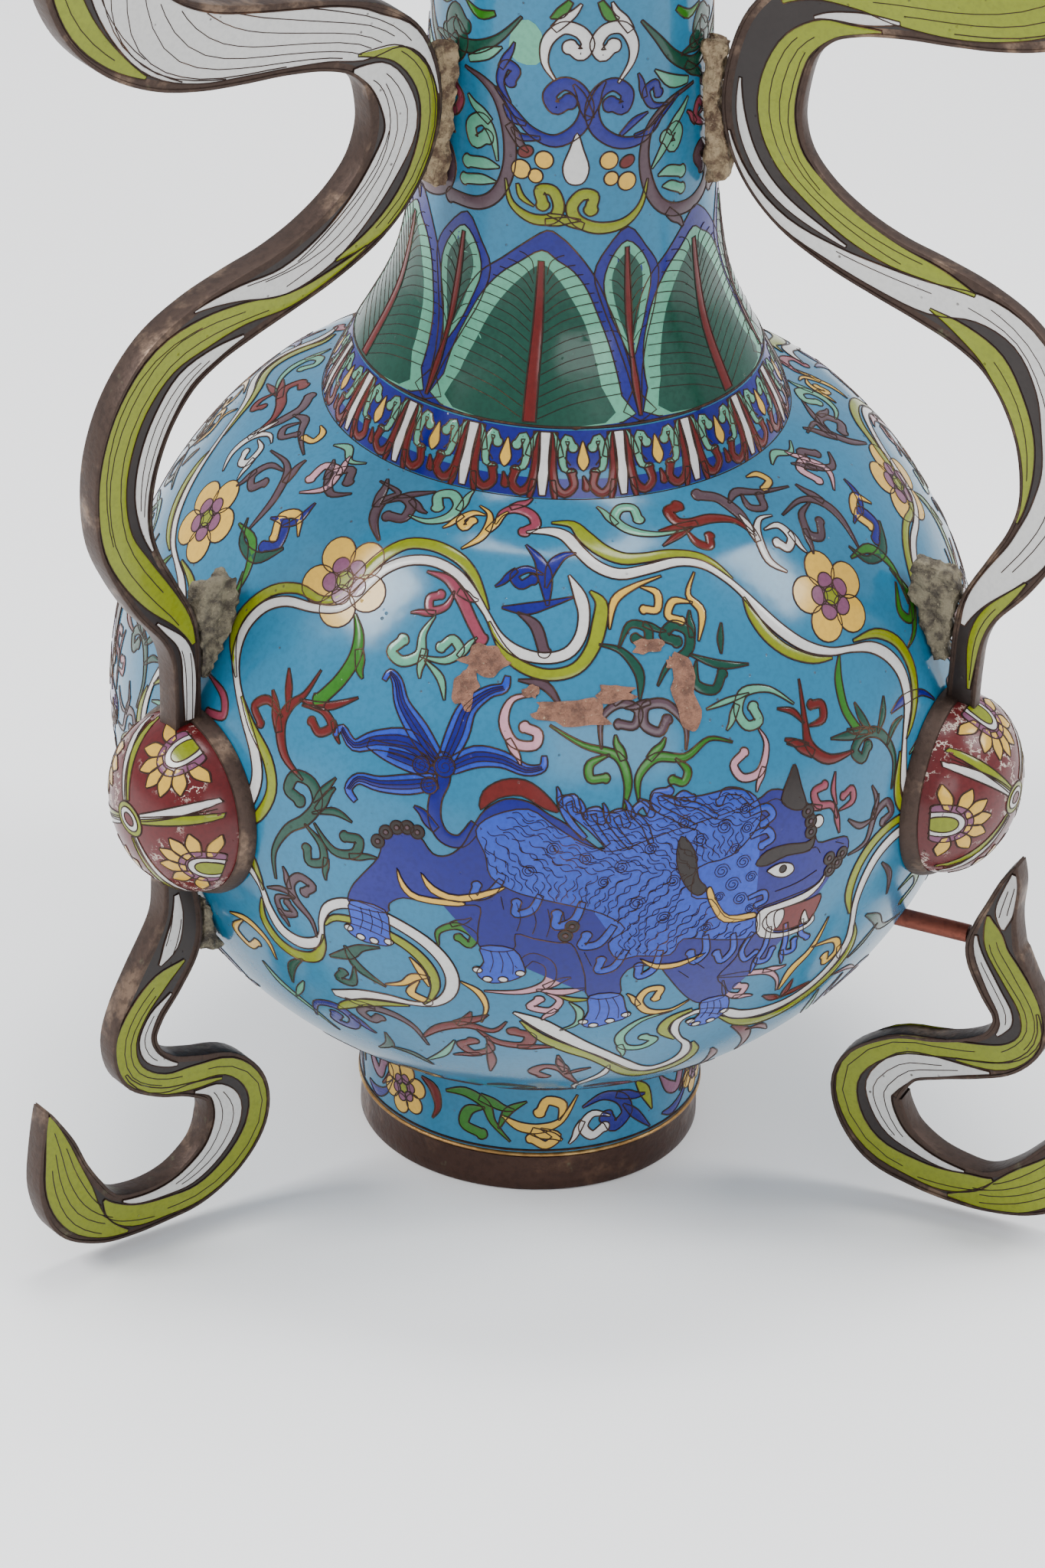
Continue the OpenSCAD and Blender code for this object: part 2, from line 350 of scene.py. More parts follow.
def crust(name, dark, light):
    lump = Finish(name)
    coarse = lump.cloud(5, 5, 0.7)
    fine = lump.cloud(1.2, 3)
    shade = lump.tint(coarse.rise(0.36, 0.62), dark, light)
    shade = lump.tint(fine.rise(0.62, 0.78) * 0.45, shade, paint(196, 186, 152))
    return lump.finish(shade, 0.6 + 0.3 * fine, coarse + 0.5 * fine, 0.0016)


METAL = {
    "cell_wire": brown_copper("cell_wire", paint(50, 34, 27), paint(112, 78, 52), 0.4, 0.4),
    "ribbon_copper": brown_copper("ribbon_copper", paint(66, 52, 45), paint(128, 106, 88), 0.7),
    "foot_copper": brown_copper("foot_copper", paint(62, 42, 34), paint(98, 72, 56), 0.8, 0.36),
    "gilding": brown_copper("worn_gilding", paint(150, 112, 62), paint(206, 172, 108), 0.9, 0.3),
    "red_copper": brown_copper("red_copper", paint(122, 66, 52), paint(164, 96, 74), 0.7, 0.4),
    "inside": brown_copper("inside_copper", paint(92, 70, 54), paint(124, 100, 78), 0.8, 0.55),
    "solder": crust("old_solder", paint(52, 44, 34), paint(112, 104, 84)),
    "resin": crust("old_resin", paint(84, 62, 44), paint(158, 138, 106)),
    "loss": crust("bare_loss", paint(80, 50, 36), paint(124, 84, 64)),
}
print("metals", len(METAL))

# %% [markdown]
# ## Turned bodies
#
# Belly, neck, mouth and foot were raised and turned, so each is a closed outline spun about the
# axis. Outlines are set by a few given points and smoothed by a curve that passes through
# them. Latitude on the belly is measured from its widest line.

# %% Smooth curves through a few points


def between(a, b, c, d, t):
    """A point between b and c on the curve that passes through all four."""
    return tuple(
        (2 * q + (r - p) * t + (2 * p - 5 * q + 4 * r - s) * t * t + (3 * q - p - 3 * r + s) * t * t * t) / 2
        for p, q, r, s in zip(a, b, c, d)
    )


def smooth(points, steps=6, closed=False):
    count = len(points)
    made = []
    for i in range(count if closed else count - 1):
        near = [i + k for k in (-1, 0, 1, 2)]
        four = [points[k % count] if closed else points[min(max(k, 0), count - 1)] for k in near]
        made += [between(*four, k / steps) for k in range(steps)]
    return made if closed else made + [tuple(points[-1])]


# %% Outlines of the body, in millimetres
BELLY_R = 140
BELLY_Z = 160
BELLY_RISE = 130
NECK = [
    (74.5, 263), (71.9, 270.5), (68.3, 277.5), (65, 283.5), (60.5, 292), (56.5, 300), (53, 309),
    (50.5, 320), (48.6, 333), (46.5, 352), (44.6, 380), (43.6, 410), (43.4, 440), (43.4, 470), (43.4, 500),
]
NECK_LINE = smooth(NECK, 10)
NECK_HEIGHTS = [z for r, z in NECK_LINE]
FOOT_R = 56


def belly_point(latitude, depth=0.0):
    """Distance from the axis and height of the belly at a latitude in degrees."""
    a = math.radians(latitude)
    t = min(max((latitude - 44) / 13, 0), 1)
    press = 1 - 0.04 * t * t * (3 - 2 * t)
    return ((BELLY_R * press - depth) * math.cos(a), BELLY_Z + (BELLY_RISE * press - depth) * math.sin(a))


def neck_point(height):
    """Distance from the axis and height of the neck at a height."""
    i = min(max(bisect_left(NECK_HEIGHTS, height), 1), len(NECK_LINE) - 1)
    low, high = NECK_LINE[i - 1], NECK_LINE[i]
    t = (height - low[1]) / (high[1] - low[1])
    return (low[0] + (high[0] - low[0]) * t, height)


def mouth_point(angle):
    """The mouth flares from the neck to the lip over a quarter turn."""
    a = math.radians(angle)
    return (43.4 + 23.6 * (1 - math.cos(a)) / 0.85, 500.05 + 36 * math.sin(a))


def foot_point(height):
    return (FOOT_R, height)


# %% Spinning an outline into a body


def add_piece(name, bm, material, stands_for=(), shade_smooth=True):
    """Turns a bmesh into a finished piece that rides on the vase."""
    mesh = bpy.data.meshes.new(name)
    for face in bm.faces:
        face.smooth = shade_smooth
    bm.to_mesh(mesh)
    bm.free()
    mesh.materials.append(material)
    piece = bpy.data.objects.new(name, mesh)
    bpy.context.scene.collection.objects.link(piece)
    if shade_smooth:
        mesh.set_sharp_from_angle(angle=math.radians(38))
    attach(piece, "root")
    if stands_for:
        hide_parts(*stands_for)
    return piece


def lay_outline(bm, outline, closed):
    """Vertices and edges of an outline of (distance, height) in millimetres, in front of the axis."""
    dots = [bm.verts.new((0, -r * MM, z * MM)) for r, z in outline]
    edges = [bm.edges.new(pair) for pair in zip(dots, dots[1:])]
    if closed:
        edges.append(bm.edges.new((dots[-1], dots[0])))
    return dots + edges


def turned(outline, closed=True, steps=180):
    bm = bmesh.new()
    bmesh.ops.spin(
        bm, geom=lay_outline(bm, outline, closed), cent=(0, 0, 0), axis=(0, 0, 1), dvec=(0, 0, 0),
        angle=math.tau, steps=steps, use_merge=True, use_normal_flip=False, use_duplicate=False,
    )
    bmesh.ops.remove_doubles(bm, verts=bm.verts, dist=1e-7)
    bmesh.ops.recalc_face_normals(bm, faces=bm.faces)
    return bm


def wall_of(outline, depth):
    """Closes an open outline into a wall by adding the same outline further in."""
    inside = []
    for i, (r, z) in enumerate(outline):
        a = outline[max(i - 1, 0)]
        b = outline[min(i + 1, len(outline) - 1)]
        run = Vector((b[0] - a[0], b[1] - a[1])).normalized()
        inside.append((r - run.y * depth, z + run.x * depth))
    return outline + inside[::-1]


belly_outline = [belly_point(a) for a in range(-72, 64)]
belly_outline = [(0, belly_outline[0][1])] + belly_outline
belly_inside = [belly_point(a, 2.5) for a in range(63, -73, -1)] + [(0, belly_point(-72, 2.5)[1])]
belly = add_piece("belly_skin", turned(belly_outline + belly_inside, closed=False), GLASS["turquoise"],
                  ["belly"])
neck = add_piece("neck_skin", turned(wall_of([neck_point(z) for z in range(263, 501)], 2.5)),
                 GLASS["turquoise"], ["neck"])
mouth = add_piece("mouth_skin", turned(wall_of([mouth_point(a) for a in range(0, 82, 3)], 2.4)),
                  GLASS["turquoise"], ["mouth"])
foot = add_piece("foot_skin", turned([(56, 14.8), (56, 40.5), (53.5, 39.4), (53.5, 14.8)]),
                 GLASS["turquoise"], ["foot_ring"])
print("turned bodies", [len(o.data.polygons) for o in (belly, neck, mouth, foot)])

# %% Lip, bead and foot band


def ring_outline(r, z, half_width, half_height, sides=14):
    """A small oval outline for a rolled or beaded edge."""
    turns = [math.tau * k / sides for k in range(sides)]
    return [(r + half_width * math.cos(t), z + half_height * math.sin(t)) for t in turns]


lip = add_piece("gilt_lip", turned(ring_outline(66.5, 537.5, 2.5, 2.5, 20)), METAL["gilding"],
                ["mouth_rim"])
add_piece("gilt_bead", turned(ring_outline(54.9, 13.85, 1.7, 0.8)), METAL["gilding"],
                 ["foot_bead"])
band_outline = [
    (55.5, 0.8), (55.2, 0.2), (54.4, 0), (53.2, 0), (53, 0.4), (53, 13), (54.6, 13), (55.3, 12.4),
    (55.1, 9), (55.5, 4),
]
add_piece("foot_band_turned", turned(band_outline), METAL["foot_copper"], ["foot_band"])
plate_outline = [(0, 11.5), (52.4, 11.5), (52.95, 12), (52.95, 12.6), (52.4, 13), (0, 13)]
add_piece("foot_plate", turned(plate_outline, closed=False, steps=96), METAL["inside"],
                  ["base_plate"])

# %% [markdown]
# ## A way to draw on curved surfaces
#
# Decoration is drawn flat and laid on a surface. Each surface answers one question: where is the
# point at (u, v), and which way is out? On the belly u is the azimuth and v the latitude, on the
# neck v is the height, on a ribbon u counts stations along it and v runs across it. The size of
# one unit in millimetres is measured on the surface itself, so a line keeps its width everywhere.

# %% Surfaces


class Surface:
    """A surface that turns (u, v) into a place in metres, lifted outwards by some millimetres."""

    def __init__(self, point):
        self.point = point

    def place(self, u, v, lift=0.0):
        here = self.point(u, v)
        along = self.point(u + 0.01, v) - self.point(u - 0.01, v)
        up = self.point(u, v + 0.01) - self.point(u, v - 0.01)
        return here + along.cross(up).normalized() * (lift * MM)

    def scale(self, u, v):
        """Millimetres for one unit of u and one unit of v."""
        along = self.point(u + 0.05, v) - self.point(u - 0.05, v)
        up = self.point(u, v + 0.05) - self.point(u, v - 0.05)
        return along.length / MM * 10, up.length / MM * 10


def turned_surface(profile):
    def point(u, v):
        r, z = profile(v)
        a = math.radians(u)
        return Vector((r * math.sin(a), -r * math.cos(a), z)) * MM

    return Surface(point)


BELLY = turned_surface(belly_point)
SHOULDER = turned_surface(neck_point)
MOUTH = turned_surface(mouth_point)
FOOT = turned_surface(foot_point)
print("one degree at the belly's widest line is", [round(x, 2) for x in BELLY.scale(0, 0)], "mm")

# %% Enamel pads and wires

BENCH = {}


def sheet(zone, glass):
    """The bmesh that collects every pad of one glass, or the wire, in one zone."""
    if (zone, glass) not in BENCH:
        BENCH[(zone, glass)] = bmesh.new()
    return BENCH[(zone, glass)]


def rails(surface, line):
    """For each station (u, v, half width): its place and the step to its edge in u and v."""
    made = []
    for i, (u, v, half) in enumerate(line):
        a = line[max(i - 1, 0)]
        b = line[min(i + 1, len(line) - 1)]
        su, sv = surface.scale(u, v)
        run = Vector(((b[0] - a[0]) * su, (b[1] - a[1]) * sv))
        run = run.normalized() if run.length > 1e-6 else Vector((1, 0))
        made.append((u, v, -run.y * half / su, run.x * half / sv))
    return made


def lay_strip(surface, bm, line, rows):
    """Lays a grid along a line; rows are (part of the half width, lift) from right to left."""
    track = rails(surface, line)
    cells = len(track) - 1
    made = bmesh.ops.create_grid(bm, x_segments=cells, y_segments=len(rows) - 1, size=1.0)
    for vert in made["verts"]:
        u, v, du, dv = track[round((vert.co.x + 1) / 2 * cells)]
        part, lift = rows[round((vert.co.y + 1) / 2 * (len(rows) - 1))]
        vert.co = surface.place(u + du * part, v + dv * part, lift)
    return made


WIRE = 0.34
WIRE_ROWS = [(-1, -0.05), (-0.5, 0.24), (0.5, 0.24), (1, -0.05)]
PAD_ROWS = [(-1, -0.03), (-0.75, 0.1), (0, 0.13), (0.75, 0.1), (1, -0.03)]


def wire(surface, zone, points, closed=False, half=WIRE, lifted=0.0):
    line = [(u, v, half) for u, v in points]
    if closed:
        line.append(line[0])
    rows = [(part, lift + lifted if lift > 0 else lift) for part, lift in WIRE_ROWS]
    lay_strip(surface, sheet(zone, "wire"), line, rows)


def fine_wire(surface, zone, points, steps, half, low, high):
    """A fine wire through a few (u, v) places, sunk to low and standing to high."""
    line = [(u, v, half) for u, v in smooth(points, steps)]
    lay_strip(surface, sheet(zone, "wire"), line, [(-1, low), (-0.4, high), (0.4, high), (1, low)])


def strap(surface, zone, glass, line, steps=5, edged=True, lifted=0.0):
    """A pad along given stations (u, v, half width), with a wire round it."""
    path = smooth(line, steps)
    path = [(u, v, max(half, 0.15)) for u, v, half in path]
    lay_strip(surface, sheet(zone, glass), path, [(part, lift + lifted) for part, lift in PAD_ROWS])
    if edged:
        track = rails(surface, path)
        left = [(u + du, v + dv) for u, v, du, dv in track]
        right = [(u - du, v - dv) for u, v, du, dv in track]
        wire(surface, zone, left + right[::-1], closed=True, lifted=lifted)


def pad(surface, zone, glass, outline, steps=4, edged=True, lift=0.12, cut=2.5):
    """A filled cell inside a closed outline, cut fine enough to follow the curve below it."""
    loop = smooth(outline, steps, closed=True)
    turned_left = sum(a[0] * b[1] - b[0] * a[1] for a, b in zip(loop, loop[1:] + loop[:1])) > 0
    loop = loop if turned_left else loop[::-1]
    su, sv = surface.scale(*loop[0][:2])
    flat = bmesh.new()
    corners = [flat.verts.new((u * su, v * sv, 0)) for u, v in loop]
    flat.faces.new(corners)
    bmesh.ops.triangulate(flat, faces=flat.faces)
    step = cut * 2
    for axis in (0, 1):
        low = min(c.co[axis] for c in corners)
        high = max(c.co[axis] for c in corners)
        for k in range(math.ceil(low / step), math.ceil(high / step)):
            spot = Vector((0, 0, 0))
            spot[axis] = k * step
            way = Vector((0, 0, 0))
            way[axis] = 1
            whole = flat.verts[:] + flat.edges[:] + flat.faces[:]
            bmesh.ops.bisect_plane(flat, geom=whole, plane_co=spot, plane_no=way)
    flat.normal_update()
    bmesh.ops.reverse_faces(flat, faces=[f for f in flat.faces if f.normal.z < 0])
    for vert in flat.verts:
        vert.co = surface.place(vert.co.x / su, vert.co.y / sv, lift)
    cell = bpy.data.meshes.new("cell")
    flat.to_mesh(cell)
    flat.free()
    sheet(zone, glass).from_mesh(cell)
    bpy.data.meshes.remove(cell)
    if edged:
        wire(surface, zone, loop, closed=True, lifted=max(0, lift - 0.12))


def three_times(bm):
    """Repeats a sector of decoration on the other two sides of the vase."""
    bmesh.ops.spin(
        bm, geom=bm.verts[:] + bm.edges[:] + bm.faces[:], cent=(0, 0, 0), axis=(0, 0, 1), dvec=(0, 0, 0),
        angle=math.radians(240), steps=2, use_merge=False, use_normal_flip=False, use_duplicate=True,
    )


# %% [markdown]
# ## Ribbon handles and tails
#
# Each ribbon was sawn from two copper plates, boxed with a strip round the edge, and enamelled in
# long streaks of yellow-green and white with brown between them. The outline is the same row of
# stations as in the CAD: distance from the axis, height and half width. The box is a grid wrapped
# round that path, with a sunk field on each side for the glass.

# %% Stations of the ribbons, in millimetres
HANDLE = [
    (143, 186, 5), (143.5, 200, 5), (144.5, 213, 5.5), (148, 224, 7), (156, 236, 8.5), (163, 248, 9),
    (167.5, 260, 10), (168.5, 274, 11), (166.5, 288, 12), (161, 302, 12.5), (151.5, 314.5, 12.5),
    (139, 322.5, 12), (125, 328, 11.5), (110, 333, 11), (95, 339.5, 11.5), (81, 348.5, 12.5), (71, 360, 13),
    (66, 374, 13.5), (66.5, 387, 13.5), (71, 399, 13), (81, 407.5, 12), (94, 412, 11.5), (110, 415, 12),
    (126, 417, 13), (141, 419.5, 14), (155, 424, 15), (168, 432, 16), (179, 443, 16), (187, 456, 14),
    (191, 469, 10), (192, 480, 6), (191, 488, 2.5), (190, 492, 0.6),
]
TAIL = [
    (146, 133, 5), (144, 120, 7.5), (146, 108, 10), (152, 97, 10), (158, 87, 9), (161, 77, 8.5),
    (158, 67.5, 8.5), (149, 61, 7.5), (138, 57.5, 7.5), (127, 53, 9.5), (121, 44, 12), (121, 34, 12.5),
    (127, 24, 11), (137, 17, 9.5), (148, 14, 8), (160, 13.2, 8), (171, 15, 9), (181, 22, 11), (187, 33, 10),
    (190, 46, 7), (193, 58, 2.5), (194, 62, 0.6),
]
LOOSE_TAIL = [
    (166, 135, 0.6), (164.5, 128, 3.5), (162, 118, 5.5), (160.5, 109, 8), (160.5, 101, 10), (165, 91, 10),
    (170, 82, 9.5), (170.5, 74, 9.5), (165, 66, 8.5), (155, 61, 7.5), (143, 57.5, 7.5), (131, 54, 9),
    (121, 44, 12), (121, 34, 12.5), (128, 23, 11.5), (140, 16.5, 9), (152, 13.5, 7.8), (164, 13, 7.5),
    (176, 17, 9.5), (187, 25, 11), (196, 37, 10), (202, 49, 6), (206, 57, 0.6),
]
STEPS = 6


def lifted(stations, lift):
    """The second handle's free end was bent up a little, past the neck."""
    made = []
    for r, z, half in stations:
        t = min(max((z - 374) / 40, 0), 1)
        made.append((r, z + lift * t * t * (3 - 2 * t), half))
    return made


class Ribbon:
    """One ribbon that stands upright in the plane of an azimuth."""

    def __init__(self, azimuth, stations, thick):
        self.path = smooth(stations, STEPS)
        a = math.radians(azimuth)
        self.out = Vector((math.sin(a), -math.cos(a), 0))
        self.right = Vector((math.cos(a), math.sin(a), 0))
        self.thick = thick
        self.edges = []
        for i, (r, z, half) in enumerate(self.path):
            before = self.path[max(i - 1, 0)]
            after = self.path[min(i + 1, len(self.path) - 1)]
            run = Vector((after[0] - before[0], after[1] - before[1])).normalized()
            self.edges.append(Vector((-run.y, run.x)) * half)

    def spot(self, station, part, sideways):
        """The place at a station, part of the way from the middle (0) to the left edge (1)."""
        s = min(max(station * STEPS, 0), len(self.path) - 1.001)
        i = int(s)
        t = s - i
        middle = Vector(self.path[i][:2]).lerp(Vector(self.path[i + 1][:2]), t)
        flat = middle + self.edges[i].lerp(self.edges[i + 1], t) * part
        return (self.out * flat.x + self.right * sideways + Vector((0, 0, flat.y))) * MM

    def face(self, side):
        """The enamelled face on the left (+1) or right (-1), as a surface that looks outwards."""
        sunk = self.thick / 2 - 0.45
        return Surface(lambda u, v: self.spot(u, v * side, -side * sunk))

    def box(self, name, stands_for):
        """The copper box, with its two fields sunk for the enamel: a grid wrapped round the path."""
        half_thick = self.thick / 2
        lip = [(0, 0.5), (0.15, 0.12), (0.5, 0), (1.1, 0), (1.3, 0.45)]
        ring = [(-1, inset, half_thick - sunk) for inset, sunk in lip]
        ring += [(1, inset, half_thick - sunk) for inset, sunk in lip[::-1]]
        ring += [(1, inset, sunk - half_thick) for inset, sunk in lip]
        ring += [(-1, inset, sunk - half_thick) for inset, sunk in lip[::-1]]
        ring.append(ring[0])
        bm = bmesh.new()
        cells = len(self.path) - 1
        made = bmesh.ops.create_grid(bm, x_segments=cells, y_segments=len(ring) - 1, size=1.0)
        for vert in made["verts"]:
            i = round((vert.co.x + 1) / 2 * cells)
            sign, inset, sideways = ring[round((vert.co.y + 1) / 2 * (len(ring) - 1))]
            half = self.path[i][2]
            part = sign * (half - min(inset, half * 0.7)) / half
            vert.co = self.spot(i / STEPS, part, sideways)
        bmesh.ops.remove_doubles(bm, verts=bm.verts, dist=1e-6)
        bmesh.ops.holes_fill(bm, edges=[e for e in bm.edges if e.is_boundary], sides=0)
        bmesh.ops.recalc_face_normals(bm, faces=bm.faces)
        return add_piece(name, bm, METAL["ribbon_copper"], stands_for)


AZIMUTHS = {1: -60, 2: 60, 3: 180}
HANDLE_THICK = {1: 9, 2: 5, 3: 7}
HANDLES = {i: Ribbon(AZIMUTHS[i], lifted(HANDLE, 8 if i == 2 else 0), HANDLE_THICK[i]) for i in (1, 2, 3)}
TAILS = {i: Ribbon(AZIMUTHS[i], LOOSE_TAIL if i == 2 else TAIL, 8) for i in (1, 2, 3)}
for i in (1, 2, 3):
    box = HANDLES[i].box(f"handle_{i}_box", [f"ribbon_{i}_edge"])
    print(box.name, len(box.data.polygons), "faces")
    box = TAILS[i].box(f"tail_{i}_box", [f"tail_{i}_edge"])
    print(box.name, len(box.data.polygons), "faces")

# %% [markdown]
# ### Streaks on the ribbons
#
# A streak is a long pad that swells and tapers along the stations, so it is set by the station,
# its place across the ribbon from 1 on the left of travel to -1 on the right, and its half width
# in millimetres. Fine wires part the glass lengthwise. They run as if the ribbon were folding,
# which is what makes a flat plate read as moving silk.

# %% Streaks of the left handle's pattern, and of the right handle's
BRAID = {
    "chartreuse": [
        [(2.2, 0.6, 0.8), (3.2, 0.3, 3.4), (4, 0.1, 5.2), (5, -0.1, 5.8), (6, -0.3, 5.4), (7, -0.4, 5.2),
         (8, -0.42, 5.4), (9, -0.42, 5.6), (10, -0.34, 5.8), (11, -0.1, 5.4), (12, 0.16, 3.8),
         (13, 0.62, 2.4), (14, 0.74, 1.3), (14.7, 0.8, 0.4)],
        [(14.1, 0.46, 0.6), (15, 0.68, 2.6), (16, 0.7, 3), (17, 0.66, 3.2), (18, 0.55, 3.3),
         (19, 0.16, 2.8), (19.6, -0.2, 1.5), (20.1, -0.45, 0.4)],
        [(25.2, -0.75, 0.6), (26, -0.66, 3), (27, -0.58, 4.6), (28, -0.48, 4.6), (29, -0.42, 3.2),
         (30, -0.35, 1.8), (30.8, -0.2, 0.6)],
    ],
    "white": [
        [(0.3, 0.1, 1.8), (1.2, 0.15, 2.6), (2.2, 0, 2), (3, -0.45, 1.2), (3.5, -0.6, 0.4)],
        [(5.2, 0.78, 0.5), (6.2, 0.68, 1.6), (7, 0.6, 2.7), (8, 0.58, 3.4), (9, 0.58, 3.6), (10, 0.56, 3.4),
         (11, 0.66, 2.2), (11.8, 0.75, 0.5)],
        [(11, -0.86, 0.4), (12, -0.52, 2.6), (13, -0.06, 4.8), (14, -0.04, 5.8), (15, -0.22, 5.8),
         (16, -0.26, 6), (17, -0.12, 6.2), (18, -0.28, 5.8), (19, -0.56, 4.2), (20, -0.88, 0.8)],
        [(17.6, 0.9, 0.4), (18.5, 0.8, 1.4), (19.2, 0.58, 4), (20, 0.12, 8), (21, 0.06, 9), (22, 0, 9.6),
         (23, 0, 10.4), (24, 0, 11.4), (25, 0.08, 11.8), (26, 0.24, 10.6), (27, 0.36, 8.4), (28, 0.48, 5.4),
         (29, 0.5, 3), (30, 0.5, 1.2)],
    ],
    "wires": [
        [(3, 0.1), (5, -0.3), (7, -0.5), (9, -0.5), (10.5, -0.4), (12, 0.1)],
        [(4, 0.35), (6, 0), (8, -0.2), (10, -0.1), (11.5, 0.2), (12.5, 0.5)],
        [(6, -0.5), (8, -0.68), (9.5, -0.68), (11, -0.3)],
        [(6.4, 0.7), (8, 0.72), (9.5, 0.7), (10.8, 0.7)],
        [(6.6, 0.58), (8, 0.5), (9.5, 0.48), (10.6, 0.56)],
        [(0.2, 0.3), (1.2, 0.35), (2, 0.3)],
        [(0.2, -0.15), (1.2, -0.1), (2.2, -0.2)],
        [(12.2, -0.6), (13.4, -0.3), (15, -0.45), (16.5, -0.42), (18, -0.5), (19, -0.72)],
        [(12.6, -0.4), (14, -0.1), (15.5, -0.3), (17, -0.22), (18.5, -0.45)],
        [(13, 0.15), (14.5, 0.12), (16, -0.02), (17.5, 0.02), (18.8, -0.35)],
        [(13.4, -0.35), (15, -0.58), (17, -0.45)],
        [(15, 0.6), (16.5, 0.68), (18, 0.6), (19, 0.25)],
        [(15.2, 0.82), (17, 0.84), (18.4, 0.7)],
        [(19, 0.6), (20.3, 0.62), (21.6, 0.8)],
        [(19.4, 0.4), (21, 0.4), (22.4, 0.6), (23.4, 0.82)],
        [(19.6, 0.1), (21.5, 0.12), (23, 0.35), (24.2, 0.8)],
        [(19.8, -0.15), (22, -0.15), (23.6, 0.1), (25, 0.75)],
        [(20, -0.4), (22, -0.4), (24, -0.15), (25.7, 0.7)],
        [(20.6, -0.6), (22.6, -0.6), (24.6, -0.3), (26.3, 0.7)],
        [(22, -0.75), (24, -0.7), (25.6, -0.3), (27, 0.7)],
        [(23.4, -0.78), (25, -0.62), (26.4, -0.15), (27.6, 0.66)],
        [(24.4, -0.75), (26, -0.35), (27.4, 0.2), (28.4, 0.62)],
        [(25.4, -0.4), (27, 0.02), (28.4, 0.4), (29.4, 0.6)],
        [(26, -0.65), (27.4, -0.6), (29, -0.45)],
    ],
}
SWEEP = {
    "chartreuse": [
        [(0.6, -0.45, 0.6), (1.6, -0.4, 2), (2.6, -0.45, 2.4), (3.4, -0.55, 2), (4.2, -0.62, 0.5)],
        [(5.4, 0.86, 0.4), (6.2, 0.84, 1.2), (7, 0.78, 2.2), (8, 0.7, 3.2), (9, 0.67, 3.8), (10, 0.56, 4),
         (11, 0.5, 2.6), (11.9, 0.44, 0.4)],
        [(11.2, -0.62, 0.6), (12, -0.58, 2.8), (13, -0.5, 4.2), (14, -0.5, 4.8), (15, -0.52, 5),
         (16, -0.42, 5.4), (17, -0.36, 6.2), (18, -0.34, 6.2), (19, -0.46, 5), (20, -0.62, 3.6),
         (20.8, -0.78, 1.8), (21.5, -0.84, 0.4)],
        [(19.5, 0.55, 0.6), (20.3, 0.42, 3.2), (21.2, 0.26, 6), (22, 0.06, 8.6), (23, 0, 10.4),
         (24, 0.04, 11.2), (25, 0.1, 11.6), (26, 0.16, 11.2), (27, 0.22, 9.4), (28, 0.3, 7), (29, 0.3, 4),
         (30, 0.3, 2), (30.8, 0.2, 0.5)],
    ],
    "white": [
        [(2.2, 0.5, 0.8), (3, 0.35, 3), (3.8, 0.2, 5), (4.6, 0, 6.4), (5.4, -0.04, 6.8), (6.2, -0.14, 7),
         (7, -0.26, 6.6), (8, -0.3, 6.2), (9, -0.46, 5.4), (10, -0.54, 4.6), (11, -0.36, 4.8),
         (12, 0.16, 5.4), (13, 0.36, 4.4), (14, 0.54, 3), (15, 0.76, 2), (16, 0.86, 1.2),
         (16.8, 0.88, 0.4)],
        [(13.9, 0.12, 0.5), (14.6, 0.2, 1.4), (15.4, 0.36, 1.8), (16.2, 0.46, 1.8), (17, 0.52, 1.6),
         (17.8, 0.6, 0.4)],
        [(19.9, -0.2, 0.5), (20.5, -0.34, 1.4), (21.2, -0.5, 2), (21.9, -0.56, 0.6)],
        [(25.4, -0.84, 0.4), (26.4, -0.7, 1.6), (27.4, -0.62, 2.8), (28.4, -0.56, 2.8), (29.4, -0.5, 1.6),
         (30.2, -0.4, 0.4)],
    ],
    "wires": [
        [(4, 0.3), (5.5, 0.1), (7, -0.05), (8.5, -0.1), (10, -0.3), (11.2, -0.2)],
        [(4.2, 0), (6, -0.25), (8, -0.32), (9.5, -0.5), (10.8, -0.55)],
        [(6.2, -0.48), (8, -0.58), (9.4, -0.74)],
        [(6.8, 0.78), (8.4, 0.64), (10, 0.55)],
        [(12, 0), (13, 0.2), (14, 0.42)],
        [(12.4, -0.68), (14, -0.6), (16, -0.5), (18, -0.42), (19.6, -0.62)],
        [(12.8, -0.36), (14.6, -0.38), (16.4, -0.24), (18, -0.16), (19.2, -0.34)],
        [(15, -0.66), (17, -0.64), (19, -0.7)],
        [(20.6, 0.4), (22, 0.3), (24, 0.35), (25.6, 0.5), (27, 0.72)],
        [(21.4, 0), (23, -0.12), (25, -0.02), (27, 0.3), (28.4, 0.6)],
        [(22, -0.35), (24, -0.4), (26, -0.25), (27.8, 0.1), (29, 0.35)],
        [(22.4, 0.6), (23.6, 0.68), (24.8, 0.8)],
        [(23, -0.66), (24.8, -0.64), (26.2, -0.4)],
        [(0.8, -0.45), (2, -0.45), (3.2, -0.55)],
    ],
}
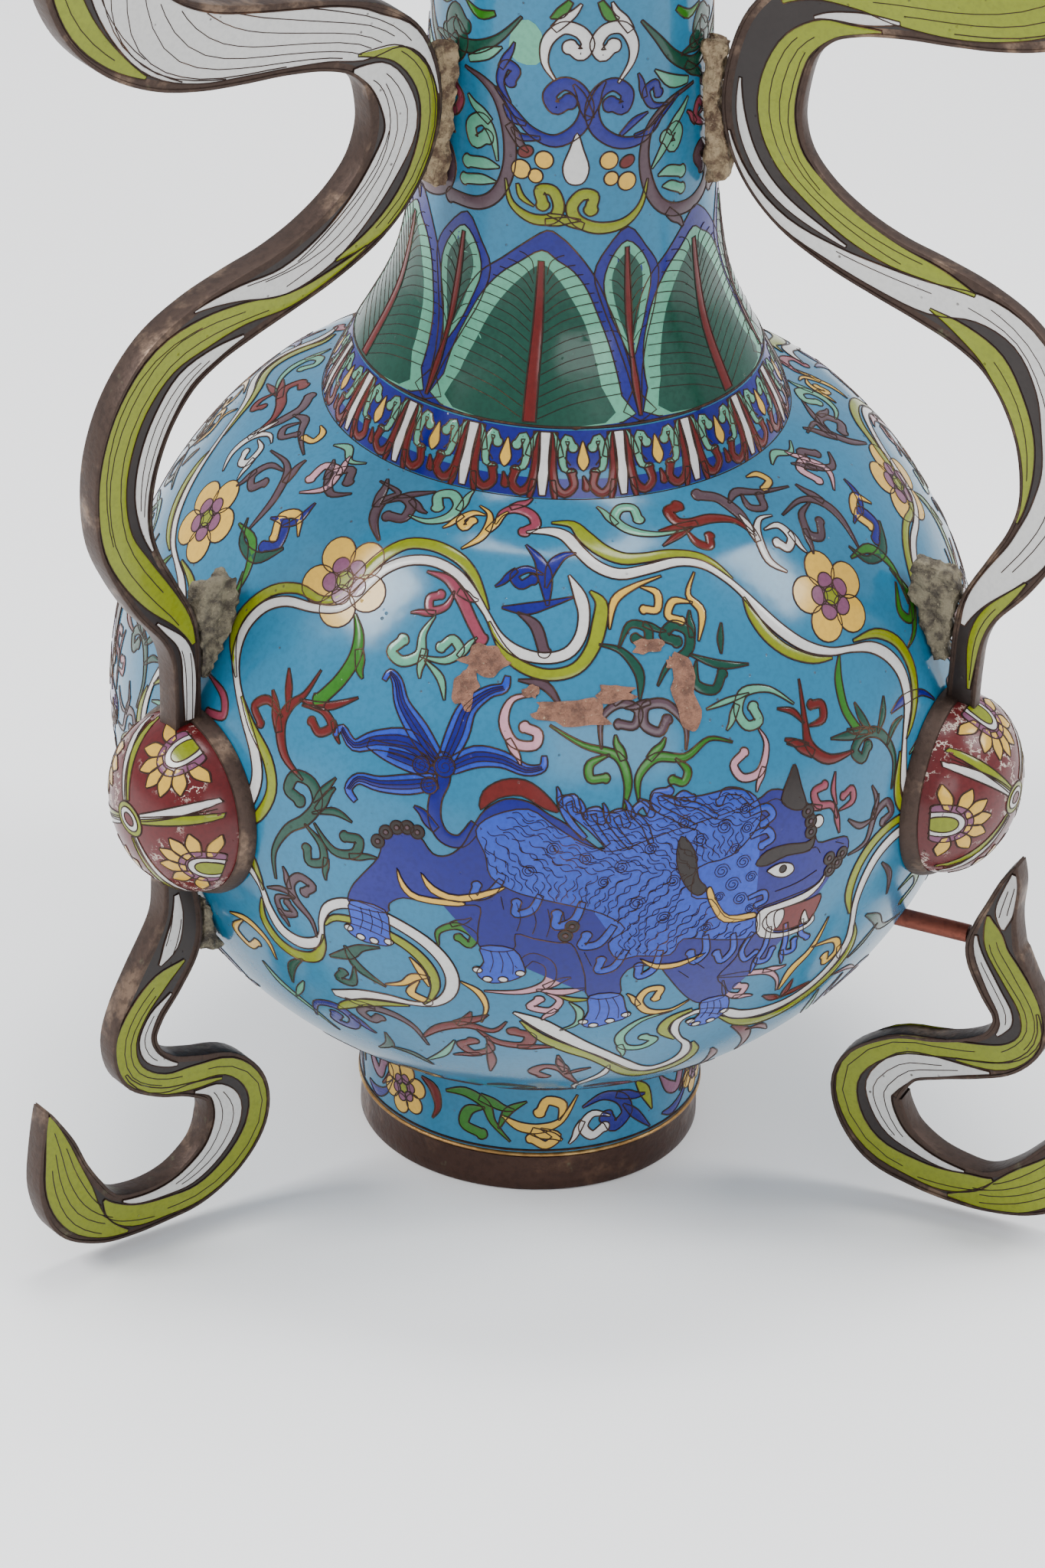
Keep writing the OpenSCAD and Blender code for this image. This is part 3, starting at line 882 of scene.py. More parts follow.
CURL = {
    "chartreuse": [
        [(2.3, -0.55, 0.5), (3, -0.05, 3.4), (4, 0.24, 4), (5, 0.42, 4.2), (6, 0.44, 3.8), (7, 0.35, 3.4),
         (8, -0.1, 3.2), (9, -0.48, 3.2), (10, -0.62, 3.4), (11, -0.6, 3.8), (12, -0.56, 3.8),
         (13, -0.5, 3.4), (14, -0.3, 3.6), (15, -0.1, 4), (15.8, 0.3, 3), (16.4, 0.6, 0.6)],
        [(5.8, 0.7, 0.4), (7, 0.72, 1.2), (8, 0.5, 1.4), (9, 0, 0.5)],
        [(15.2, -0.72, 0.5), (16, -0.4, 3.6), (17, -0.06, 7.4), (18, 0, 7.6), (19, 0, 5), (20, 0, 1.6),
         (20.5, 0, 0.4)],
    ],
    "white": [
        [(3.2, -0.7, 0.5), (4, -0.5, 1.8), (5, -0.46, 2.4), (6, -0.5, 2.4), (6.8, -0.56, 1.4),
         (7.3, -0.6, 0.5)],
        [(8.2, 0.75, 0.5), (9, 0.5, 2.4), (10, 0.34, 5), (11, 0.32, 5.4), (12, 0.36, 4.4), (13, 0.4, 3.6),
         (14, 0.5, 2), (15, 0.6, 1.2), (15.5, 0.7, 0.4)],
        [(0.5, 0.2, 1), (1.2, 0.2, 2.4), (2, 0.2, 3), (2.6, 0.3, 0.6)],
    ],
    "wires": [
        [(3.2, 0.1), (4.4, 0.4), (6, 0.55), (7, 0.45)],
        [(3.4, -0.15), (5, 0.2), (6.4, 0.25), (7.6, 0)],
        [(4, -0.5), (5, -0.42), (6.4, -0.52)],
        [(8.4, -0.3), (10, -0.72), (12, -0.66), (14, -0.4)],
        [(9, 0.55), (10.4, 0.5), (12, 0.5), (13.6, 0.5)],
        [(9.4, 0.3), (10.6, 0.15), (12, 0.2), (13.4, 0.32)],
        [(16, -0.6), (17.2, -0.45), (18.6, -0.4)],
        [(16, -0.2), (17.4, -0.15), (19, -0.15)],
        [(15.8, 0.05), (17, 0.15), (18.4, 0.15), (19.6, 0.1)],
        [(16.4, 0.4), (17.6, 0.5), (19, 0.45)],
        [(1, 0.45), (2, 0.4)],
        [(1.2, 0), (2.2, 0)],
        [(14.4, -0.5), (15.4, -0.2), (16.2, 0.1)],
    ],
}


def streaks(ribbon, side, pattern, zone, stretch=1.0):
    """Lays a pattern on one face; stretch matches a pattern to a ribbon of more stations."""
    face = ribbon.face(side)
    for glass in ("chartreuse", "white"):
        for line in pattern[glass]:
            strap(face, zone, glass, [(u * stretch, v * side, half) for u, v, half in line], 4, lifted=0.16)
    for points in pattern["wires"]:
        fine_wire(face, zone, [(u * stretch, v * side) for u, v in points], 4, 0.26, 0.1, 0.4)


def brown_field(ribbon, side, name, stands_for):
    """The dark glass that fills the sunk field between the streaks."""
    face = ribbon.face(side)
    bm = bmesh.new()
    halves = [half for r, z, half in ribbon.path]
    line = [(i / STEPS, 0, max(half - 1.1, 0.1)) for i, half in enumerate(halves) if half > 1.6]
    lay_strip(face, bm, line, [(-1, -0.06), (-0.5, 0.1), (0, 0.12), (0.5, 0.1), (1, -0.06)])
    bmesh.ops.recalc_face_normals(bm, faces=bm.faces)
    return add_piece(name, bm, GLASS["brown"], stands_for)


for i in (1, 2, 3):
    for side, word in ((1, "left"), (-1, "right")):
        pattern = SWEEP if i == 2 else BRAID
        streaks(HANDLES[i], side, pattern, "handles")
        brown_field(HANDLES[i], side, f"handle_{i}_{word}_field", [f"ribbon_{i}_{word}_face"])
        streaks(TAILS[i], side, CURL, "tails", 22 / 21 if i == 2 else 1.0)
        brown_field(TAILS[i], side, f"tail_{i}_{word}_field", [f"tail_{i}_{word}_face"])
print("streaks laid on", len(HANDLES) + len(TAILS), "ribbons")

# %% [markdown]
# ## Brocade balls
#
# Three low domes sit on short copper collars round the belly. A dome is a quarter of an oval spun
# about the ball's own axis and then laid on its side, so a point on it is set by how far it lies
# right of and above that axis, as seen by someone facing the ball.

# %% Ball bodies and their surfaces
BALL_R = 29.3
BALL_RISE = 22
BALL_PLACE = {1: -59.3, 2: 59.3, 3: 180}


def ball_axes(i):
    """Where ball i stands, and how its own right, up and out directions point."""
    a = math.radians(BALL_PLACE[i])
    out = Vector((math.sin(a), -math.cos(a), 0))
    right = Vector((math.cos(a), math.sin(a), 0))
    centre = out * 141.5 * MM + Vector((0, 0, 159 * MM))
    return centre, right, out


def ball_matrix(i):
    centre, right, out = ball_axes(i)
    return Matrix.Translation(centre) @ Matrix((right, Vector((0, 0, 1)), out)).transposed().to_4x4()


def ball_surface(i, turned_by=0.0):
    """x and y in millimetres on the dome, with the pattern turned by some degrees."""
    whole = ball_matrix(i)
    spin = math.radians(turned_by)

    def point(x, y):
        far = min(math.hypot(x, y) / BALL_R, 0.999)
        height = BALL_RISE * math.sqrt(1 - far * far)
        right = x * math.cos(spin) - y * math.sin(spin)
        up = x * math.sin(spin) + y * math.cos(spin)
        flat = Vector((right, up, height))
        return whole @ (flat * MM)

    return Surface(point)


for i in (1, 2, 3):
    rising = [math.radians(a) for a in range(0, 87, 3)]
    dome = [(BALL_R * math.cos(a), BALL_RISE * math.sin(a)) for a in rising]
    inner = [(r * 0.92, z * 0.9) for r, z in dome[::-1]]
    bm = turned(dome + [(0, BALL_RISE)] + [(0, BALL_RISE * 0.9)] + inner, closed=True, steps=96)
    bmesh.ops.transform(bm, matrix=ball_matrix(i), verts=bm.verts)
    add_piece(f"ball_{i}_dome", bm, GLASS["ball_red"], [f"ball_{i}"])
    collar = [(29.35, -4.4), (31.3, -4.8), (31.4, -3), (30.6, -0.4), (30.1, 0.5), (29.4, 0.7), (29.35, 0)]
    bm = turned(collar, steps=96)
    bmesh.ops.transform(bm, matrix=ball_matrix(i), verts=bm.verts)
    add_piece(f"ball_{i}_collar", bm, METAL["ribbon_copper"], [f"ball_{i}_rim"])
print("balls", len(BALL_PLACE))


# %% Sunflowers and double bands on a ball


def oval(x, y, wide, high, turned_by=0.0, count=10):
    """Points of an oval, as the outline of a petal, boss or bead."""
    a = math.radians(turned_by)
    made = []
    for k in range(count):
        t = math.tau * k / count
        dx = wide * math.cos(t)
        dy = high * math.sin(t)
        made.append((x + dx * math.cos(a) - dy * math.sin(a), y + dx * math.sin(a) + dy * math.cos(a)))
    return made


def dress_ball(i, turned_by):
    face = ball_surface(i, turned_by)
    for quarter in range(4):
        q = math.radians(90 * quarter)

        def at(angle, far):
            return (far * math.sin(q + math.radians(angle)), far * math.cos(q + math.radians(angle)))

        hub_x, hub_y = at(0, 27)
        for k in range(7):
            a = q + math.radians(180 + (k - 3) * 27)
            tip = (hub_x + 13 * math.sin(a), hub_y + 13 * math.cos(a))
            root = (hub_x + 5 * math.sin(a), hub_y + 5 * math.cos(a))
            mid = (hub_x + 9.5 * math.sin(a), hub_y + 9.5 * math.cos(a))
            if math.hypot(*tip) < BALL_R * 0.985 and math.hypot(*mid) < BALL_R * 0.98:
                strap(face, "balls", "ochre", [(*root, 1.2), (*mid, 2.3), (*tip, 0.3)], 4)
        for glass, radius, lift in (("mauve", 6.8, 0.14), ("white", 4.4, 0.17), ("chartreuse", 2.8, 0.2)):
            ring = []
            for k in range(16):
                a = math.tau * k / 16
                x = hub_x + radius * math.sin(a)
                y = hub_y + radius * math.cos(a)
                if math.hypot(x, y) > BALL_R * 0.98:
                    shrink = BALL_R * 0.98 / math.hypot(x, y)
                    x, y = x * shrink, y * shrink
                ring.append((x, y))
            pad(face, "balls", glass, ring, 2, lift=lift)
        for angle, glass in ((40, "white"), (50, "chartreuse")):
            start = at(angle, 28.6)
            mid = at(angle + (45 - angle) * 0.2, 17)
            end = at(angle + (45 - angle) * 0.1, 6)
            strap(face, "balls", glass, [(*start, 1.9), (*mid, 1.7), (*end, 1.2)], 5)
        red_a = at(45, 28)
        red_b = at(45, 6)
        wire(face, "balls", smooth([red_a, at(45, 17), red_b], 5))
    pad(face, "balls", "chartreuse", oval(0, 0, 6.4, 5), 3, lift=0.16)
    pad(face, "balls", "white", oval(0, 0, 4.6, 3.4), 3, lift=0.2)
    pad(face, "balls", "ball_red", oval(0, 0, 2.6, 1.8), 3, lift=0.24)


dress_ball(1, -22)
dress_ball(2, 0)
dress_ball(3, 10)
print("ball cells", len(sheet("balls", "ochre").faces))

# %% [markdown]
# ## Vines, leaves and flowers
#
# Three shapes make nearly the whole pattern. A vine is a stem that swells and ends either in a
# point or in a rolled-up bulb. A leaf is a short vine that is fattest in its middle. A flower is
# a ring of round petals about an eye. Each is set by a few places on the surface.

# %% Vines, leaves and flowers


def vine(surface, zone, glass, points, half=1.4, end="bulb", start=0.2, steps=5, lifted=0.0):
    """A stem through (u, v) places that ends in a 'bulb' or a 'tip'; a leafy spur grows on its back."""
    last = len(points) - 1
    line = []
    for i, (u, v) in enumerate(points):
        t = i / last
        width = start + (1.1 - start) * min(1, t * 3)
        if end == "tip":
            width *= 1 - t ** 2.2
        line.append((u, v, max(half * width, 0.25)))
    u, v = line[-1][:2]
    su, sv = surface.scale(u, v)
    run = Vector(((u - line[-2][0]) * su, (v - line[-2][1]) * sv)).normalized()
    if end == "bulb":
        for far, width in ((0.7, 1.35), (1.4, 1.2), (1.9, 0.6), (2.05, 0.2)):
            line.append((u + run.x * far * half / su, v + run.y * far * half / sv, width * half))
    strap(surface, zone, glass, line, steps, lifted=lifted)
    if last >= 4:
        i = last // 2
        a, b, c = points[i - 1], points[i], points[i + 1]
        ahead = Vector(((c[0] - a[0]) * su, (c[1] - a[1]) * sv)).normalized()
        back = Vector(((2 * b[0] - a[0] - c[0]) * su, (2 * b[1] - a[1] - c[1]) * sv))
        side = back.normalized() if back.length > 0.3 else Vector((-ahead.y, ahead.x))
        spur = []
        for far, out, width in ((-1.5, 0.2, 0.7), (0.4, 1.2, 0.85), (2.2, 1.9, 0.6), (3.6, 3, 0.2)):
            spot = ahead * far * half + side * out * half
            spur.append((b[0] + spot.x / su, b[1] + spot.y / sv, width * half))
        strap(surface, zone, glass, spur, 3, lifted=lifted + 0.02)


def leaf(surface, zone, glass, points, half=2.0, lifted=0.0):
    """A pointed leaf through (u, v) places."""
    last = len(points) - 1
    line = [(u, v, max(half * math.sin(math.pi * min(0.18 + 0.82 * i / last, 1)), 0.25))
            for i, (u, v) in enumerate(points)]
    strap(surface, zone, glass, line, 4, lifted=lifted)


def round_cell(surface, zone, glass, u, v, wide, high=None, lift=0.14, turned_by=0.0):
    """A round or oval cell, sized in millimetres."""
    su, sv = surface.scale(u, v)
    outline = oval(0, 0, wide, high or wide, turned_by)
    pad(surface, zone, glass, [(u + x / su, v + y / sv) for x, y in outline], 2, lift=lift)


def flower(surface, zone, u, v, reach, petals=6, turned_by=0.0):
    """A ring of round petals, a smaller ring on it, and an eye."""
    su, sv = surface.scale(u, v)
    for glass, size, lift in (("ochre", reach, 0.14), ("mauve", reach * 0.52, 0.19)):
        for k in range(petals):
            a = math.radians(turned_by + 360 * k / petals)
            spread = 0.33 if petals > 5 else 0.37
            x = size * (1 - spread) * math.sin(a)
            y = size * (1 - spread) * math.cos(a)
            petal = oval(x, y, size * spread * 1.12, size * spread * 1.12, -math.degrees(a), 10)
            pad(surface, zone, glass, [(u + px / su, v + py / sv) for px, py in petal], 2, lift=lift)
        hub = oval(0, 0, size * 0.52, size * 0.52)
        middle = [(u + px / su, v + py / sv) for px, py in hub]
        pad(surface, zone, glass, middle, 2, edged=False, lift=lift + 0.02)
    round_cell(surface, zone, "chartreuse", u, v, reach * 0.2, lift=0.25)


# %% [markdown]
# ## Collar and plantain leaves
#
# Where the neck leaves the shoulder runs a collar of eighteen lappets between two heavier wires,
# and above it stand six broad plantain leaves with six narrow ones between. They were drawn by
# hand, so the front leaves stand a little wider apart than the back ones.

# %% Collar of lappets


def ring_of(surface, zone, glass, low, high, lift=0.06, steps=180, rows=4):
    """A plain band of glass all the way round."""
    middle = (low + high) / 2
    scale_v = surface.scale(0, middle)[1]
    line = [(360 * k / steps, middle, (high - low) / 2 * scale_v) for k in range(steps + 1)]
    lay_strip(surface, sheet(zone, glass), line, [(-1 + 2 * k / rows, lift) for k in range(rows + 1)])


def ring_wire(surface, zone, v, half=0.45):
    """A heavier wire all the way round; it is laid like any other."""
    line = [(2 * k, v, half) for k in range(181)]
    lay_strip(surface, sheet(zone, "wire"), line, [(-1, -0.05), (-0.5, 0.4), (0.5, 0.4), (1, -0.05)])


def lappet(surface, zone, c, base, tall, wide=10.0):
    """One lappet of the collar: stripe, hooks, two leaves and a drop."""
    k = wide / 10

    def at(x, y):
        return (c + x * k, base + y * tall)

    leaf_white = [(*at(10, 0.02), 1.0), (*at(9.9, 0.3), 1.7), (*at(10, 0.7), 1.9), (*at(10, 0.98), 1.7)]
    strap(surface, zone, "white", leaf_white, 4)
    for s in (-1, 1):
        hook = [at(7.6 * s, 0.98), at(7.9 * s, 0.55), at(7 * s, 0.2), at(4.6 * s, 0.06), at(2.4 * s, 0.18),
                at(2.8 * s, 0.34)]
        vine(surface, zone, "maroon", hook, 1.15, start=0.9, steps=3)
        vine(surface, zone, "mint", [at(2.2 * s, 0.42), at(4.8 * s, 0.45), at(5.4 * s, 0.7), at(4.2 * s, 0.9),
                                     at(3 * s, 0.8)], 1.2, steps=3)
        wire(surface, zone, [at(3.2 * s, 0.5), at(4.8 * s, 0.62)])
    drop = [at(0, 0.86), at(1.1, 0.68), at(1.5, 0.54), at(0, 0.42), at(-1.5, 0.54), at(-1.1, 0.68)]
    pad(surface, zone, "ochre", drop, 3)
    vine(surface, zone, "maroon", [at(0, 0.34), at(0.6, 0.2)], 1.0, steps=2)


ring_of(SHOULDER, "collar", "cobalt", 264.2, 283.2)
for k in range(18):
    lappet(SHOULDER, "collar", 20 * k, 264.4, 18.6)
for v in (263.6, 284):
    ring_wire(SHOULDER, "collar", v, 0.55)

# %% Broad and narrow plantain leaves


def plantain(c):
    """A broad leaf of (az, height) points round its centre, with midrib and veins."""

    def at(x, z):
        return (c + x, z)

    border = [(-32.5, 284.6), (-31.5, 296), (-31, 308), (-28, 318), (-23, 326), (-15, 332), (-7, 338),
              (1.5, 343), (7, 341), (11, 338), (16, 333), (20.5, 327), (24.5, 319), (28, 311), (30.5, 302),
              (32, 293), (32.3, 284.6)]
    blade = [(-26.5, 284.8), (-28.5, 293), (-28, 303), (-25, 312), (-21, 320), (-15, 327), (-8, 332),
             (0, 336.5), (6, 333.5), (12, 330), (17, 324), (21, 315.5), (24, 308), (26, 300), (27, 292),
             (26.5, 284.8)]
    heart = [(-22.5, 285), (-23.5, 295), (-21, 304), (-18, 312), (-14, 319), (-8, 326), (0, 332), (6, 328),
             (11, 322), (16, 314), (19, 305), (21, 295), (21.5, 285)]
    pad(SHOULDER, "leaves", "cobalt", [at(*p) for p in border], 3, lift=0.1)
    pad(SHOULDER, "leaves", "mint", [at(*p) for p in blade], 3, lift=0.15)
    pad(SHOULDER, "leaves", "pine", [at(*p) for p in heart], 3, edged=False, lift=0.19)
    rib = [(0.2, 285, 2.1), (0, 298, 1.9), (0.2, 315, 1.5), (0, 333, 0.9)]
    strap(SHOULDER, "leaves", "maroon", [(c + x, z, half) for x, z, half in rib], 4, lifted=0.14)
    for k in range(15):
        z = 286 + 3.05 * k
        reach = 27.5 * math.sqrt(max(0.02, 1 - ((z + 6 - 288) / 49) ** 2))
        for s in (-1, 1):
            vein = [at(2.4 * s, z)]
            vein += [at(reach * part * s, z + rise) for part, rise in ((0.4, 4), (0.74, 6), (1, 6.6))]
            fine_wire(SHOULDER, "leaves", vein, 4, 0.17, 0.1, 0.3)


def sprout(c):
    """A narrow leaf on a thin stalk, between two broad ones."""

    def at(x, z):
        return (c + x, z)

    border = [(0, 286), (2.4, 297), (6, 307), (10.5, 317), (13, 328), (8, 336), (0.5, 343.5), (-8, 337),
              (-12.5, 329), (-9.5, 319), (-5.5, 309), (-2.2, 298)]
    blade = [(0, 302), (4, 309), (7, 317), (9.5, 326), (6.5, 334), (0, 339), (-6, 334), (-9, 326),
             (-7, 317), (-3.5, 309)]
    heart = [(0, 306), (2.8, 312), (5, 320), (6, 327), (4, 332), (0, 335), (-4, 332), (-6, 327), (-5, 320),
             (-2.6, 312)]
    pad(SHOULDER, "leaves", "cobalt", [at(*p) for p in border], 3, lift=0.13)
    pad(SHOULDER, "leaves", "mint", [at(*p) for p in blade], 3, lift=0.17)
    pad(SHOULDER, "leaves", "pine", [at(*p) for p in heart], 3, edged=False, lift=0.21)
    rib = [(0, 286, 0.5), (0, 295, 1.1), (0, 303, 0.7), (0, 318, 1.1), (0, 337, 0.6)]
    strap(SHOULDER, "leaves", "maroon", [(c + x, z, half) for x, z, half in rib], 4, lifted=0.16)
    for k in range(7):
        z = 307 + 4 * k
        for s in (-1, 1):
            vein = [at(1.2 * s, z), at(4 * s, z + 3), at(7 * s, z + 4)]
            fine_wire(SHOULDER, "leaves", vein, 3, 0.15, 0.1, 0.32)


BROAD = [-79, -15, 49, 107, 165, 223]
for here, following in zip(BROAD, BROAD[1:] + [BROAD[0] + 360]):
    sprout((here + following) / 2)
for here in BROAD:
    plantain(here)
print("leaves", len(BROAD) * 2)

# %% [markdown]
# ## The neck
#
# Round the neck run paired scrolls under a heart, with a white drop and two bunches of berries,
# three times over. The part above the handles can't be known from the front, so the same scrolls
# are turned upside down there and shifted by a sixth of the way round, as such vases often do.

# %% Scrolls of the neck
NECK_VINES = [
    ("white", [(-13, 392.5), (-17.5, 398), (-17, 405), (-11, 410), (-4, 409), (-0.5, 405), (-3, 401.5),
        (-6, 403)], 1.9),
    ("white", [(12.5, 391.5), (18, 398), (18.5, 404), (14, 409.5), (7, 409.5), (3, 405), (5.5, 401),
        (8.6, 403)], 1.9),
    ("cobalt", [(-38, 387), (-30, 381), (-22, 375), (-12, 372.5), (-3, 377), (0, 384), (-4, 390),
        (-10, 391.5), (-15, 387.5), (-12.5, 383.5), (-9, 385)], 2.0),
    ("cobalt", [(42, 383), (32, 377.5), (24, 372), (14, 371.5), (5, 376), (2, 383), (5, 389), (11, 391),
        (16.5, 387.5), (15, 383), (11.5, 384)], 2.0),
    ("cobalt", [(-31, 383), (-36, 389), (-34, 395), (-29.5, 394), (-31, 391)], 1.5),
    ("cobalt", [(36, 381), (28, 382), (25, 387), (29, 389), (30.5, 386.5)], 1.3),
    ("chartreuse", [(-31, 358), (-28, 350.5), (-20, 346.5), (-12, 347), (-9.5, 351), (-12, 356), (-17, 356),
        (-16, 352.5)], 1.6),
    ("chartreuse", [(26, 358), (23, 350), (16, 345), (6, 344), (-2, 346.5), (-4.5, 351), (-1, 355),
        (3.5, 354.5), (3, 351.5)], 1.7),
    ("taupe", [(-54, 390), (-44, 388), (-36, 383), (-31, 373), (-30, 362), (-34, 352.5), (-42, 347.5),
        (-54, 346.5)], 1.9),
    ("taupe", [(52, 384), (38, 382), (28, 376), (24.5, 367), (26, 357), (31, 349), (39, 345), (50, 344.5),
        (60, 348), (63, 355), (59, 361), (54, 359), (57, 355.5)], 1.9),
    ("mint", [(-35, 363), (-38, 371), (-43, 375), (-48.5, 372), (-46, 367), (-42, 369)], 1.9),
    ("mint", [(-34, 361), (-40, 361), (-47, 360)], 1.7),
    ("mint", [(-35, 356), (-41, 355.5), (-48, 354)], 1.5),
    ("mint", [(28, 361), (33, 366), (39, 372), (42, 370), (39, 366), (36, 369)], 1.8),
    ("mint", [(31, 358), (36, 358.5), (42, 357)], 1.6),
    ("mint", [(33, 354), (37, 353.5), (42, 351.5)], 1.4),
    ("rose", [(63, 367), (58, 369), (53.5, 372), (56, 376.5), (60, 374.5)], 1.3),
    ("rose", [(-64, 372), (-58, 374), (-55, 379), (-59, 382)], 1.3),
    ("pine", [(22, 411), (30, 404), (39, 396), (50, 391), (60, 392), (64, 398), (59, 402), (54, 399)], 2.0),
    ("pine", [(-28, 412), (-38, 403), (-50, 397.5), (-62, 397), (-66, 402), (-62, 407), (-57, 404)], 2.0),
]
NECK_LEAVES = [
    ("mint", [(48, 386), (38, 388), (29, 393.5)], 2.2),
    ("mint", [(-52, 393), (-43, 397), (-36, 400.5)], 2.0),
    ("cobalt", [(-18, 373), (-26, 372.5), (-30, 375)], 1.2),
    ("cobalt", [(-24, 377), (-30, 378), (-34, 382)], 1.2),
    ("cobalt", [(20, 373), (28, 374), (33, 378)], 1.2),
    ("cobalt", [(14, 374), (20, 378), (26, 380)], 1.2),
    ("leaf", [(-8, 419), (-12, 415), (-16, 413)], 1.8),
    ("leaf", [(4, 419), (8, 414), (12, 413)], 1.8),
    ("chartreuse", [(-26, 357), (-24, 353), (-19, 350.5)], 1.0),
    ("leaf", [(40, 412), (48, 408), (56, 410)], 1.6),
    ("leaf", [(-40, 411), (-48, 409), (-56, 412)], 1.6),
]
DROP = [(-3.5, 375.5), (-0.8, 370), (1.6, 364), (0, 359.5), (-3.5, 358.3), (-7, 359.5), (-8.6, 364),
        (-6.2, 370)]


def neck_tier(zone, shift, flip):
    """The neck's scrolls, upright or turned over about a height."""

    def at(points):
        return [(u + shift, (flip * 2 - v) if flip else v) for u, v in points]

    for glass, points, half in NECK_VINES:
        vine(SHOULDER, zone, glass, at(points), half)
    for glass, points, half in NECK_LEAVES:
        leaf(SHOULDER, zone, glass, at(points), half)
    pad(SHOULDER, zone, "white", at(DROP), 3)
    for u, v, size in ((-25, 362, 3.1), (-16, 366, 2.9), (-19, 360.5, 2.3), (9.5, 366, 2.9), (10.5, 360, 2.3),
                       (17, 358.5, 3)):
        spot = at([(u, v)])[0]
        round_cell(SHOULDER, zone, "ochre", *spot, size)
    for u, v in ((-23.5, 368), (17, 365)):
        spot = at([(u, v)])[0]
        round_cell(SHOULDER, zone, "maroon", *spot, 2.6, 1.9, lift=0.17, turned_by=30)


neck_tier("neck", 0, 0)
neck_tier("neck", 60, 421)
pad(SHOULDER, "leaves", "mint", [(-33, 401), (-31, 409), (-25, 411.5), (-19.5, 408), (-18, 401), (-21, 397),
                                 (-29, 397)],
    2, edged=False, lift=0.08)
for k in range(18):
    lappet(MOUTH, "mouth", 20 * k + 10, 6, 52)
ring_wire(SHOULDER, "neck_rings", 499.4, 0.6)
for v in (4, 60, 76):
    ring_wire(MOUTH, "mouth", v, 0.5)
ring_of(MOUTH, "mouth", "cobalt", 61, 76, rows=6)
print("neck vines", len(NECK_VINES), "leaves", len(NECK_LEAVES))

# %% [markdown]
# ## The belly
#
# A third of the belly, from ball to ball, holds one lion, two flowers and the floating ends of
# ribbon, and the ground between is filled with scrolls. The third is drawn once and turned twice.
# Places are azimuth and latitude in degrees, and half widths are millimetres.

